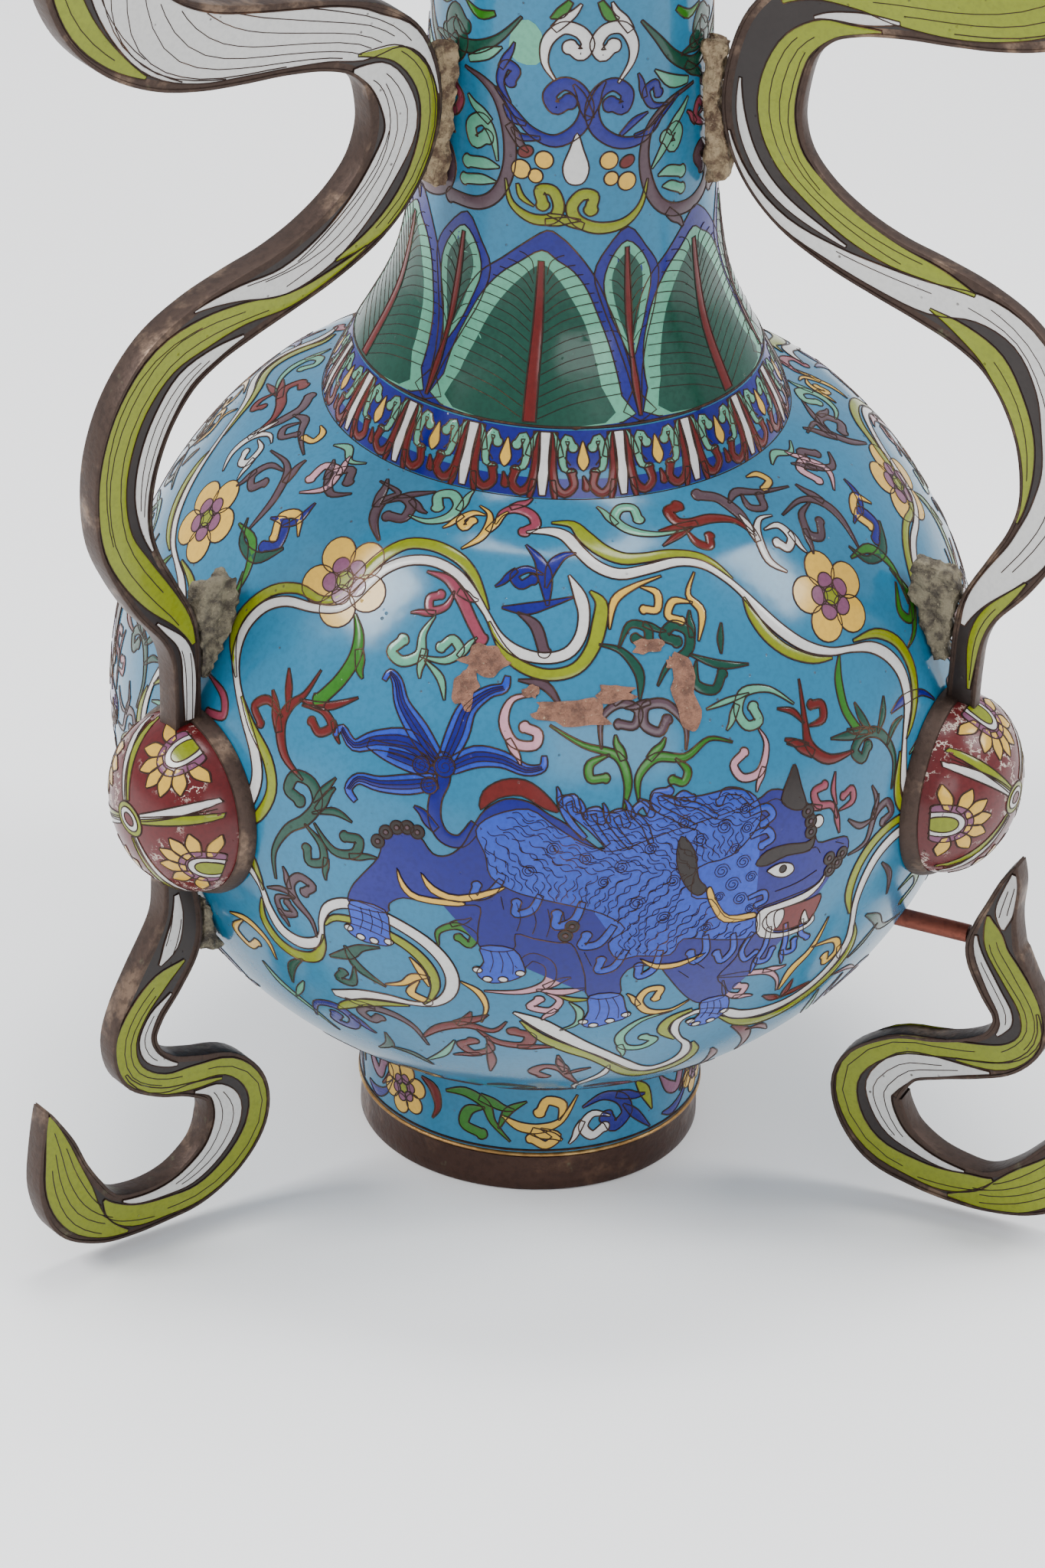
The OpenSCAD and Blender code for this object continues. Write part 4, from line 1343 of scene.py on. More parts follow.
# %% Floating ribbon ends
BANDS = [
    ("white", [(-50, 0.6, 1.2), (-48, 4.4, 1.9), (-47.2, 8.4, 2.1), (-48.4, 12, 2), (-51, 15.6, 1.8),
        (-54, 19.4, 1.3), (-56, 23, 1.7), (-56.3, 27, 1.8), (-54.5, 30.6, 1.8), (-51, 32.7, 1.6),
        (-46, 33.4, 1.4), (-42, 34.4, 1.3), (-40, 36.2, 1.5), (-38.4, 39, 1.7), (-36.4, 41.6, 1.7),
        (-33, 43.5, 1.6), (-28.5, 44.2, 1.6), (-24, 43.3, 1.5), (-20.5, 41.2, 1.4), (-17.4, 38.4, 0.9),
        (-15, 35.6, 1.4), (-12, 33.8, 1.8), (-8, 33.1, 1.7), (-4.4, 33.8, 1.8), (-2.3, 36, 1.8),
        (-1.6, 39, 1.8), (-2.2, 41.6, 1.9), (-4, 44.4, 0.3)]),
    ("chartreuse", [(-50, -0.4, 1), (-46.4, 2.8, 1.7), (-44.6, 7.4, 1.9), (-46, 11.6, 1.9),
        (-49.6, 15, 1.4), (-52.6, 18.2, 0.4)]),
    ("chartreuse", [(-54.6, 20.2, 0.4), (-57.8, 25, 1.7), (-57.6, 29, 1.9), (-54.6, 33, 1.8),
        (-50, 34.9, 1.6), (-45, 34.8, 1.3), (-42.2, 36.4, 1.6), (-40.2, 39.6, 1.9), (-38, 43, 2),
        (-34.5, 45.7, 1.9), (-29.5, 46.4, 1.9), (-24.5, 45.5, 1.8), (-21, 43.6, 1.5), (-18.6, 41, 0.9),
        (-17.2, 39, 0.3)]),
    ("chartreuse", [(-16.8, 37.4, 0.4), (-14, 33.8, 1.3), (-11, 31.8, 1.7), (-7, 30.9, 1.8),
        (-3, 31.8, 1.9), (-0.4, 34.6, 2.1), (0.9, 38, 2.3), (1.3, 40.6, 1.8), (-0.4, 42.2, 0.4)]),
    ("white", [(-12.5, 50.6, 0.3), (-8, 51, 1.5), (-4.6, 50.3, 2), (-2, 48, 1.9), (1, 45.7, 1.9),
        (5, 44.4, 1.8), (10, 44.7, 1.6), (16, 45.2, 1.5), (20.5, 44.2, 1.3), (23.6, 42, 1.1),
        (26, 39.4, 1.2), (28, 36.4, 1.8), (30.6, 33, 2), (34, 29.9, 1.8), (38, 27.9, 1.3), (42, 27, 1.1),
        (46, 25.8, 1.8), (49, 23.4, 2.2), (50.7, 20, 2.3), (50.4, 16, 2), (48.5, 12, 1.1), (47.5, 8, 1.5),
        (47.4, 4.6, 1.8), (49, 1.6, 1.6), (52, -0.6, 0.9)]),
    ("chartreuse", [(-7.4, 52.4, 0.4), (-3, 52.2, 1.4), (-0.6, 50.2, 2.4), (2.4, 48, 2.4), (6, 46.6, 2.1),
        (10, 46.4, 1.7), (15, 46.5, 1.5), (20, 45.6, 1.2), (23, 43.8, 0.9), (25.2, 41.4, 0.3)]),
    ("chartreuse", [(26, 38.6, 0.4), (26.5, 36, 1.6), (28, 32.8, 1.9), (30.8, 29.9, 1.8), (34.6, 27.8, 1.3),
        (38, 27, 0.4)]),
    ("chartreuse", [(43, 27.8, 0.4), (48, 27.1, 1.5), (51.8, 24.4, 1.9), (53.2, 20.4, 2), (52.5, 16.4, 1.7),
        (50.6, 13.2, 1), (48.6, 11.2, 0.3)]),
    ("chartreuse", [(47, 10, 0.4), (45.9, 6, 1.5), (46.2, 2.8, 1.7), (48.4, 0.2, 1.5), (51.6, -1.6, 0.8)]),
    ("white", [(-50.5, -4.2, 1), (-48, -6, 1.3), (-46, -8.6, 1.1), (-45.2, -11.6, 1.5), (-43.6, -15, 2.2),
        (-41, -16.2, 2.5), (-38.5, -15.4, 2), (-36.9, -13.4, 1), (-36.5, -10.4, 1.1), (-35.4, -7.8, 1.7),
        (-33, -6.2, 1.9), (-30, -6.1, 1.8), (-26, -7.3, 1.9), (-22, -9.6, 2.1), (-19.4, -12.6, 2.2),
        (-18.3, -16, 2.2), (-18.9, -19.4, 2), (-21, -21.9, 1.4), (-24, -22.8, 1), (-28, -22.8, 1.6),
        (-32, -23.5, 2.1), (-35, -24.9, 2.4), (-37.2, -25.4, 1.4)]),
    ("chartreuse", [(-50.5, -1.6, 1), (-47.7, -3.8, 1.4), (-46.2, -7, 0.9), (-45.8, -9, 0.3)]),
    ("chartreuse", [(-46.2, -10.6, 0.4), (-46.5, -14.4, 1.4), (-44.8, -17.8, 2), (-42, -19.2, 2.3),
        (-38.7, -18.3, 2.1), (-37, -15.6, 1.3), (-36.5, -13, 0.4)]),
    ("chartreuse", [(-36, -11, 0.4), (-34.4, -9.2, 1.2), (-31, -8.8, 1.4), (-26.6, -9.9, 1.6),
        (-23.4, -11.9, 1.8), (-21.3, -14.8, 1.8), (-20.7, -18, 1.5), (-21.6, -21, 0.8),
        (-22.6, -22.4, 0.3)]),
    ("chartreuse", [(-25, -23.6, 0.4), (-29, -24.5, 1.3), (-33, -26, 2), (-36, -28, 1.7),
        (-37.6, -29.6, 0.4)]),
    ("white", [(-10, -22, 0.5), (-6.6, -24.2, 2.6), (-3.4, -27, 2.8), (0, -30, 2.4), (4, -33.5, 2.2),
        (7.5, -37, 2.3), (11, -40.4, 2.4), (14, -41.6, 2.5), (16.8, -40.4, 2.4), (18.2, -37.4, 2),
        (17.4, -33.6, 1.3), (15.4, -31, 0.9), (13.9, -28, 1.4), (14.2, -25.4, 1.4), (17, -24.2, 1.2),
        (21, -25.6, 1.6), (24, -27.6, 2.3), (28, -28.8, 2.5), (33, -28.8, 2.6), (37, -26.8, 2.5),
        (39.6, -23.4, 2.3), (40.8, -19, 1.9), (40.1, -15, 1.2), (39.5, -11, 1.4), (40.3, -7, 1.9),
        (42.6, -3.8, 2.1), (46.5, -2.3, 1.9), (50, -3.4, 1.5), (52, -4.8, 0.9)]),
    ("chartreuse", [(-9, -24, 0.4), (-6, -28, 1.8), (-2, -31.2, 2.2), (2, -34, 2), (5.6, -37.5, 2.1),
        (9.4, -41.6, 2.6), (13.6, -44.2, 3), (17.8, -43.2, 2.8), (20, -40, 2), (20, -36.4, 1.4),
        (18.4, -33.2, 0.4)]),
    ("chartreuse", [(14.6, -31, 0.4), (12.1, -28, 1.8), (12.6, -25.2, 1.8), (15.6, -23.6, 1)]),
    ("chartreuse", [(20.6, -26.8, 0.4), (25, -30, 1.9), (30, -31.8, 2.5), (35, -31.2, 2.8),
        (39.6, -27.8, 2.6), (42.2, -23, 2), (42, -18.6, 1.2), (40.8, -15.6, 0.4)]),
    ("chartreuse", [(38.8, -12.6, 0.4), (37.6, -8.4, 1.7), (38.6, -4.2, 1.9), (41.6, -1.2, 1.8),
        (46, -0.1, 1.5), (50, -1.2, 1.2), (53, -3, 0.4)]),
]
for glass, line in BANDS:
    strap(BELLY, "belly", glass, line, 4, lifted=0.06)

# %% Scrolls: every one is a glass, its places, its half width and its end, a bulb if not given
VINES = [
    ("taupe", [(-40, 45), (-43.6, 47.6), (-44.6, 50.4), (-43, 52.6), (-49, 53.2)], 1.8, "tip"),
    ("taupe", [(-44.5, 50), (-41.5, 52), (-38.4, 51.4), (-38, 49.2), (-40.6, 48.8)], 1.5),
    ("taupe", [(-43, 51.6), (-40, 53), (-35.2, 54.6)], 1.3, "tip"),
    ("mint", [(-37.4, 49.8), (-33, 49.7), (-29.3, 51.2), (-28.6, 53.4), (-31, 54.9), (-34, 54.2),
        (-33, 52.7)], 1.5),
    ("ochre", [(-24.2, 46.8), (-21.4, 48.8), (-20.5, 51), (-21.2, 53), (-23.8, 54)], 1.5, "tip"),
    ("ochre", [(-21.8, 52.6), (-24.6, 52.6), (-26.6, 51.2), (-25.2, 50), (-24.4, 51)], 1.2),
    ("rose", [(-19.2, 51.4), (-18.4, 53.4), (-15.4, 54.3), (-12, 53.6), (-10.8, 52), (-12.4, 51)], 1.5,
        "bulb"),
    ("cobalt", [(-15, 39.5), (-11, 39.6), (-7.4, 40.4), (-3.4, 41.4)], 1.8, "tip"),
    ("cobalt", [(-7.6, 40.2), (-8.2, 44), (-9.6, 46.6), (-12.2, 48.6)], 2.2, "tip"),
    ("cobalt", [(-8, 42.6), (-7, 45.6), (-5, 47.2), (-2.6, 47.6)], 1.8, "tip"),
    ("cobalt", [(-8.6, 44.4), (-11.4, 45), (-13.6, 44), (-12.4, 42.8), (-10.9, 43.4)], 1.3),
    ("mint", [(20, 49.6), (14, 49.7), (9, 50.8), (6.4, 52.8), (8, 54.5), (11, 54.4), (11.4, 52.9)], 1.4,
        "bulb"),
    ("maroon", [(33.5, 46), (31.5, 49), (27, 50.4), (22, 50.5), (19.4, 51.2), (18.8, 53), (20.6, 53.4)],
        1.6),
    ("maroon", [(22, 49.8), (18.5, 49.1), (14.4, 47.8)], 1.4, "tip"),
    ("maroon", [(20.4, 49.6), (21.3, 47.4), (23.4, 46.5), (24.2, 47.6)], 1.2),
    ("white", [(36, 40), (33.5, 42.4), (34, 46), (36.6, 48), (39.8, 47.8)], 1.6, "tip"),
    ("white", [(36, 46.4), (39.4, 46.2), (40.4, 44), (38.6, 42.9), (37.4, 43.8)], 1.3),
    ("taupe", [(33.6, 46.6), (33.4, 50), (31.8, 53), (28.6, 54.2)], 1.7),
    ("taupe", [(33.2, 51.8), (37, 53), (42, 51.6), (49.4, 50.2)], 1.5, "tip"),
    ("taupe", [(37.6, 52.4), (36.8, 50.2), (39.6, 49.3), (41, 50.8)], 1.1),
    ("taupe", [(53.6, 38), (54, 43), (52, 46.4), (48, 47.8), (42, 47.2)], 1.6, "tip"),
    ("taupe", [(50, 46.8), (46, 46), (44.6, 43.4), (46.8, 42.2), (48.4, 43.6)], 1.3),
    ("ochre", [(42.6, 54.4), (45.8, 54), (46.8, 52.4), (44.4, 51.8)], 1.1),
    ("leaf", [(-38.6, 34.6), (-36.8, 32), (-36.4, 29), (-37.6, 25.6), (-39.6, 22.6)], 1.9),
    ("maroon", [(-40, 10.6), (-43.4, 13), (-45, 17), (-44.2, 20), (-42.4, 22.2), (-41, 26)], 1.9, "tip"),
    ("maroon", [(-44.4, 19), (-45.2, 22), (-46.2, 24.6)], 1.5, "tip"),
    ("maroon", [(-43, 21.2), (-38.6, 21.6), (-34.2, 24)], 1.5, "tip"),
    ("maroon", [(-42.4, 20.6), (-39, 20.8), (-37.2, 19.2), (-38.8, 17.8), (-40, 18.7)], 1.2),
    ("maroon", [(-45, 18), (-48, 19.4), (-50, 17.8), (-48.6, 16.2)], 1.2),
    ("pine", [(-43.4, -6), (-43.6, -1.6), (-41.6, 2.6), (-39, 5), (-37.4, 8), (-38.6, 10.6), (-41.2, 10.8),
        (-42, 8.6), (-40.6, 7.8)], 1.7),
    ("pine", [(-38, 8), (-36.8, 10), (-35.2, 12.4)], 1.4, "tip"),
    ("pine", [(-38, 6.4), (-34.8, 7.6), (-32.2, 6.8)], 1.4, "tip"),
    ("pine", [(-39, 4.4), (-36.4, 2.2), (-36, -0.4), (-38, -1.2), (-38.4, 0.4)], 1.3),
    ("pine", [(-37.6, 5), (-34.6, 1.8), (-31.6, 2.2), (-31, 4.4), (-32.6, 4.4)], 1.4),
    ("taupe", [(-37.6, -14), (-38.2, -11), (-40.4, -8.4), (-41, -6), (-39.6, -4.2), (-37.6, -5),
        (-38.6, -6.2)], 1.3),
    ("taupe", [(-40.4, -8), (-42.4, -7.4), (-45, -8.2)], 1.2, "tip"),
    ("taupe", [(-40.6, -8.2), (-43.4, -9.2), (-42.8, -11.6), (-40.8, -11), (-41.6, -9.8)], 1.1),
    ("pine", [(-36, -17), (-33, -15.4), (-31, -13.6), (-28.2, -12.6)], 2.2, "tip"),
    ("pine", [(-33.4, -14), (-31.8, -17.6), (-28, -20.4)], 2, "tip"),
    ("pine", [(-32.4, -17.6), (-33.2, -21.4), (-35.4, -21.4), (-34.6, -20)], 1.3),
    ("pine", [(-41, -19.8), (-43.6, -22.6), (-45, -27)], 1.8, "tip"),
    ("ochre", [(-21.4, -16.4), (-23.6, -17), (-25.4, -18.8), (-28, -19.8)], 1.6, "tip"),
    ("ochre", [(-21.6, -18.4), (-22.6, -15.6), (-24, -13.2)], 1.5, "tip"),
    ("ochre", [(-23, -17.6), (-24.4, -20.4), (-22.6, -21.6)], 1.5),
    ("ochre", [(-17.2, -16.4), (-14.8, -18.2), (-13.8, -21.4), (-14.6, -25)], 1.2, "tip"),
    ("leaf", [(-20, -10), (-20, -7.6), (-17.6, -6.2), (-15.4, -7.4), (-15.9, -9.2), (-17, -8.4)], 1.2,
        "bulb"),
    ("pink", [(-14, -17.8), (-9, -17.4), (-5.6, -15.4), (-5.4, -12), (-7.6, -10.5), (-8.8, -11.6)], 1.5,
        "bulb"),
    ("pink", [(-7, -16.8), (-3.6, -17.2), (-0.4, -16.4)], 1.7, "tip"),
    ("pink", [(-5.8, -17.4), (-3.8, -19), (-5, -21.2), (-7.7, -20.6), (-6.8, -19.2)], 1.3),
    ("chartreuse", [(-4, -18), (-2, -18.8), (0.4, -18.8)], 1.2, "tip"),
    ("mint", [(-2.4, -19.4), (-0.9, -21.6), (-1.2, -24.4), (-3.4, -26)], 1.2, "tip"),
    ("ochre", [(14.6, -21), (12, -22.8), (8.8, -22.4), (7.2, -20), (8, -17.7), (9.9, -17.6), (9.6, -19.2)],
        1.2),
    ("mint", [(12.4, -23), (8.2, -24.4), (5.7, -28), (6.7, -31.4), (9.6, -32.2), (11.2, -30.4),
        (9.8, -29.4)], 1.4),
    ("pink", [(18, -17), (22, -17.6), (26, -18.6), (28.4, -21), (29.4, -24)], 1.3, "tip"),
    ("pink", [(19, -18), (20.2, -21.2), (22.4, -22.3), (23.1, -20.8), (22, -20.2)], 1.2),
    ("ochre", [(29.8, -24), (30.6, -20), (33, -16.8), (34.6, -11.4)], 1.8, "tip"),
    ("ochre", [(33, -16.4), (37.4, -17), (39, -19.8), (37.6, -21.6), (36.8, -20.2)], 1.3),
    ("maroon", [(31, -26.6), (29.4, -25.8), (27.2, -24.4)], 1.7, "tip"),
    ("maroon", [(31.4, -26.8), (31.6, -25), (31.8, -22.6)], 1.7, "tip"),
    ("maroon", [(31, -26.4), (33.4, -26), (36.2, -25.4)], 1.7, "tip"),
    ("rose", [(34.2, 5), (33.4, 7.2), (31.2, 8), (30.6, 10), (32, 10.4)], 1.2),
    ("rose", [(34.2, 7), (33.8, 9.4), (34.4, 11.8)], 1.1, "tip"),
    ("rose", [(34, 7), (34.2, 5), (34.6, 2.6)], 1.2, "tip"),
    ("rose", [(34.6, 6), (37, 6.6), (37, 8.4), (35.8, 8)], 1.1),
    ("taupe", [(36.4, -1.6), (39.6, -0.8), (41.2, 2.8), (43.6, 3.8), (44.6, 1.8), (43.2, 1.2)], 1.2,
        "bulb"),
    ("taupe", [(40.8, 2.4), (38.4, 2.2), (36.2, 4)], 1.2, "tip"),
    ("taupe", [(41, 2.8), (41.6, 5), (40.8, 7.4)], 1.1, "tip"),
    ("pine", [(44.6, 5.4), (45.6, 10), (43.6, 14), (40.4, 15.2), (38.2, 13.6), (39.4, 12), (40.4, 13)], 1.5,
        "bulb"),
    ("pine", [(42.6, 15), (38.6, 15.8), (34.4, 16.6)], 1.9, "tip"),
    ("pine", [(42, 14.8), (40.6, 17.4), (39.8, 20)], 1.6, "tip"),
    ("pine", [(43, 14.4), (44.6, 16.4), (45.6, 18.8)], 1.6, "tip"),
    ("pine", [(44.4, 12), (46.4, 14), (48.6, 14.6)], 1.3, "tip"),
    ("leaf", [(39.5, 27), (38, 24), (37.8, 20), (39, 17)], 1.3),
    ("maroon", [(38, 13.6), (33.6, 13.9), (30.8, 16.6), (30.6, 20), (31.2, 26)], 1.9, "tip"),
    ("maroon", [(31, 19.4), (33.6, 19.6), (34, 21.6), (32.6, 22)], 1.2),
    ("maroon", [(30.6, 17), (28.8, 17.6), (27.2, 18)], 1.3, "tip"),
    ("maroon", [(30.4, 20), (29, 22), (26.6, 23)], 1.1, "tip"),
    ("mint", [(29.4, 23), (26, 25.8), (22, 26.3), (20.5, 24), (21.5, 21.8), (23.4, 22), (23, 23.6)], 1.4,
        "bulb"),
    ("mint", [(22.6, 26), (19, 25.6), (15.8, 25)], 1.1, "tip"),
    ("pink", [(23.2, 21), (24, 18.6), (22.6, 15.2), (20, 14.8), (18.8, 16.8), (20.2, 18)], 1.2),
    ("leaf", [(5.4, 13.6), (5.5, 17), (8, 19.4), (12, 19), (15.6, 21), (19, 20)], 1.6, "tip"),
    ("leaf", [(10.6, 19), (12.2, 17.2), (11.6, 15.6), (10.4, 16)], 1.1),
    ("leaf", [(3.4, 12.6), (4, 16.4), (2.6, 20), (-2, 21.6), (-6.6, 24.2)], 1.6, "tip"),
    ("leaf", [(1.6, 20.2), (-1, 19), (-1, 17), (0.6, 17)], 1.2),
    ("taupe", [(0.5, 21), (0.6, 25), (3.2, 27), (5.8, 26), (5.2, 24), (3.4, 24.2)], 1.2),
    ("taupe", [(12.2, 20), (12.4, 23.4), (10, 26.4), (7, 26.4), (6.6, 24), (8.6, 22.8), (9.6, 24)], 1.3,
        "bulb"),
    ("pine", [(6.2, 27.4), (6.4, 31), (4, 34), (0.6, 35)], 1.5, "tip"),
    ("pine", [(3.6, 34.4), (5.6, 37.4), (8.4, 36.8), (8.2, 34.8), (6.8, 35.4)], 1.2),
    ("pine", [(9, 29), (11, 31.6), (14.4, 33.2), (15, 35.6), (12.8, 36.8), (11, 35.6), (12.4, 34.8)], 1.4,
        "bulb"),
    ("pine", [(14.6, 32.6), (19, 30.6), (23.6, 29.8)], 1.5, "tip"),
    ("pine", [(15.4, 31.6), (14.8, 28.6), (17.4, 27.4), (18.8, 29)], 1.3),
    ("pine", [(19.6, 32), (20, 34), (20.8, 36)], 1.2, "tip"),
    ("ochre", [(2.4, 37), (3.6, 40.8), (7.4, 42.6), (12.4, 43.6)], 1.3, "tip"),
    ("ochre", [(8.4, 42.4), (11, 41.4), (10.6, 39.2), (8.8, 39.3)], 1.1),
    ("ochre", [(16.4, 34.2), (18, 38), (16.4, 40.6), (18.6, 43.4)], 1.3, "tip"),
    ("ochre", [(16.8, 39.4), (13.6, 40), (12.2, 38.2), (13.8, 37.4)], 1.1),
    ("rose", [(-29, 42.7), (-25, 42.2), (-22, 40), (-19.4, 37), (-18, 35.4)], 1.6),
    ("rose", [(-23.4, 40.8), (-24.2, 38.6), (-26.5, 37.7), (-27.2, 39.2), (-26, 39.8)], 1.2),
    ("mint", [(-25.6, 37), (-26.8, 34.4), (-26.6, 31.6), (-29, 30.2), (-31, 31.2), (-30, 32.6)], 1.5,
        "bulb"),
    ("mint", [(-26.4, 31.4), (-22.6, 31.4), (-20.6, 33), (-22, 34.4), (-23.2, 33.4)], 1.3),
    ("mint", [(-25.6, 31), (-22.8, 29), (-21.7, 26.2)], 1.4, "tip"),
    ("taupe", [(-12.4, 39), (-9.4, 37.4), (-8, 34.4)], 1.5),
    ("pink", [(-8.6, 28.2), (-12, 27.4), (-13, 24.4), (-11.4, 21.6), (-8.6, 21.4), (-8.2, 23),
        (-9.6, 23.6)], 1.4),
    ("taupe", [(-5, 26.6), (-7.4, 29.4), (-11.4, 30)], 1.6, "tip"),
    ("taupe", [(-23.6, -34), (-25, -29.2), (-28, -26.8), (-31.6, -26.6), (-33.4, -28.4), (-32, -30),
        (-30.8, -29)], 1.5),
    ("maroon", [(-24, -31.6), (-21, -28), (-17, -26.2), (-13, -27), (-11, -24.4)], 2.1, "tip"),
    ("maroon", [(-18, -26.6), (-16.8, -25), (-16, -22.8)], 1.8, "tip"),
    ("maroon", [(-15.4, -27), (-12.4, -30), (-8.4, -30.4), (-7.6, -27.8), (-9.4, -27)], 1.8),
    ("maroon", [(-14, -28.6), (-13.6, -32.4), (-16.4, -34.2), (-18, -32), (-16.6, -30.8)], 1.6),
    ("maroon", [(-14, -31), (-13.6, -36), (-14.2, -41)], 1.7, "tip"),
    ("cobalt", [(-44, -35), (-42, -30.6), (-38, -29.2), (-35.6, -31.6), (-37, -34.4), (-39.6, -34),
        (-39, -32.4)], 1.8),
    ("mint", [(-50, -25), (-48, -29), (-44, -33), (-41, -38)], 1.6, "tip"),
    ("mint", [(-46, -31), (-44, -28), (-42.4, -25.4)], 1.4, "tip"),
    ("mint", [(-25, -40), (-21.4, -36), (-19, -31)], 1.6, "tip"),
    ("pine", [(-34, -40), (-31, -37), (-30.6, -33)], 1.8, "tip"),
    ("pine", [(-31, -38), (-27.4, -38.6), (-24.6, -42)], 1.8, "tip"),
    ("maroon", [(1.8, -47), (-0.6, -42.4), (-2.2, -38.8), (-5, -37.6), (-6.8, -39.8), (-5.4, -41.6)], 1.7,
        "bulb"),
    ("maroon", [(-1.8, -40), (-2.6, -36.6), (-3.2, -33.4)], 1.5, "tip"),
    ("maroon", [(-1.4, -41), (0.6, -39.4), (2.6, -38.4)], 1.4, "tip"),
    ("white", [(5.6, -37.6), (5.2, -42), (1.6, -48), (2.4, -52)], 1.5, "tip"),
    ("maroon", [(24.4, -31), (28, -34), (31, -38.4), (34, -45)], 2, "tip"),
    ("maroon", [(28.4, -34), (31.4, -34.4), (35, -37.6)], 1.6, "tip"),
    ("maroon", [(24, -38), (26.4, -42), (29, -50)], 1.8, "tip"),
    ("mint", [(41, -30), (43.6, -36), (48, -41), (54, -44)], 1.5, "tip"),
    ("cobalt", [(46, -29), (46.6, -35), (51, -39.4), (56, -38), (56.4, -33), (52.6, -31), (50.6, -34)], 2.2,
        "bulb"),
    ("rose", [(42, -27), (46, -27.6), (50, -30)], 1.3, "tip"),
    ("taupe", [(43.6, -6), (46, -9), (46.8, -13)], 1.3, "tip"),
    ("pine", [(43, -15), (46.4, -17.4), (50, -21), (56, -22)], 1.8, "tip"),
    ("pine", [(47.6, -19), (45.6, -22), (43.6, -24)], 1.6, "tip"),
    ("leaf", [(50, -14), (54, -13), (56, -16), (53.6, -17.6)], 1.3),
    ("mint", [(49, 8.8), (52, 9.6), (54.4, 7.8), (52.6, 5.8), (51.4, 7)], 1.3),
    ("cobalt", [(46.4, 16), (49.6, 16.6), (54, 15.8), (57, 13.4)], 1.6, "tip"),
    ("ochre", [(-53.6, -17), (-50, -16.6), (-47, -19), (-46.4, -22.6)], 1.5, "tip"),
    ("ochre", [(-51, -17), (-53.6, -20), (-51.6, -22.4), (-49.8, -21)], 1.3),
    ("rose", [(-60, 18.4), (-56, 17), (-55, 14.4), (-57.4, 13.6)], 1.3),
    ("leaf", [(-62, 33), (-60.6, 28), (-63, 24), (-66, 22.6)], 1.5, "tip"),
    ("leaf", [(50.6, 37.6), (56, 37), (58.8, 33), (58.2, 27.4)], 1.7, "tip"),
    ("leaf", [(57.6, 31), (55.4, 27.6), (57, 25.6), (58.8, 26.8)], 1.3),
    ("cobalt", [(56.4, 41), (60, 41.6), (61.6, 38.8), (59.4, 37.6)], 1.5),
    ("cobalt", [(60, 41), (62.4, 43), (63, 46)], 1.5, "tip"),
    ("pine", [(-57, 38.6), (-61, 35.6), (-66, 36), (-68.4, 39)], 1.9, "tip"),
    ("ochre", [(-55.6, 41), (-58.4, 43.4), (-61.6, 42), (-60.4, 39.6)], 1.4),
    ("pink", [(58, 46), (62, 48.4), (60.4, 51.4), (56.6, 51), (57, 48.8)], 1.4),
    ("mint", [(52, 54), (56, 55), (60, 53.6), (64, 54.6)], 1.4, "tip"),
    ("taupe", [(-52, 49.6), (-56, 48.2), (-60, 50.4), (-57.6, 52.6), (-55.6, 51.2)], 1.4),
]
for glass, points, half, *end in VINES:
    vine(BELLY, "belly", glass, points, half, *end)
print("scrolls in a third of the belly", len(VINES))

# %% Flowers, and scrolls under the belly
flower(BELLY, "belly", 42.3, 34.6, 14.6, petals=5, turned_by=4)
flower(BELLY, "belly", -42.6, 38.4, 14.6, petals=5, turned_by=28)
under = ["maroon", "mint", "cobalt", "ochre", "pine", "rose"]
for k in range(6):
    c = -50 + 20 * k
    curl = [(c - 9, -66), (c - 5, -60), (c, -55.4), (c + 6, -54), (c + 9, -57.4), (c + 5, -60), (c + 2, -58)]
    vine(BELLY, "belly", under[k], curl, 1.9)
    vine(BELLY, "belly", under[(k + 2) % 6], [(c - 6, -50.6), (c - 2, -49), (c + 3, -50.6),
                               (c + 1, -53)], 1.5)
    leaf(BELLY, "belly", under[(k + 4) % 6], [(c + 10, -64), (c + 7, -62), (c + 3, -63.6)], 1.5)
print("belly cells", sum(len(bm.faces) for (zone, glass), bm in BENCH.items() if zone == "belly"))

# %% [markdown]
# ### The lion
#
# The beast is a guardian lion of no particular tale, drawn side on. One deep blue cell holds its
# body, lighter blue cells lie over it for the mane, paws and tail, and the mane is then combed
# with waving wires, which is how the craftsman showed hair.

# %% Body, mane, paws and head
BODY = [
    (-27.6, 5.6), (-28.2, 2.6), (-30.4, -0.8), (-31.9, -3.4), (-32, -6), (-27, -6), (-26.6, -4.4),
    (-24.6, -2.9), (-20.8, -3), (-17, -2.6), (-14.6, -2.6), (-14.8, -6), (-14.4, -9.6), (-10.2, -9.4),
    (-10, -6.6), (-7.6, -7.2), (-4.6, -7.8), (-2.8, -8), (-1.6, -10.6), (-0.7, -14), (0.1, -18.4),
    (4.2, -18.2), (4.1, -14.8), (5.6, -12.6), (9, -13), (10.2, -14.6), (12.4, -18), (14.4, -20.6),
    (16.6, -22.2), (20, -21.8), (19.6, -19.6), (18, -17), (20, -14), (21.2, -10.6), (22.8, -9.6),
    (22.6, -6.6), (22.4, -5.6), (27, -5), (31, -4.4), (33, -2.6), (36, -1), (36, 1.4), (33.6, 2), (31, 2.4),
    (30.4, 5), (30, 8), (27, 11), (24, 12.2), (21, 11), (10, 9), (2, 6.6), (-1, 8), (-4, 10.6), (-6.4, 12),
    (-9, 13.6), (-12, 13.8), (-14.6, 12), (-16, 9.4), (-17.2, 6.6), (-19, 4.8), (-21, 4.7), (-23, 7),
    (-25.4, 7),
]
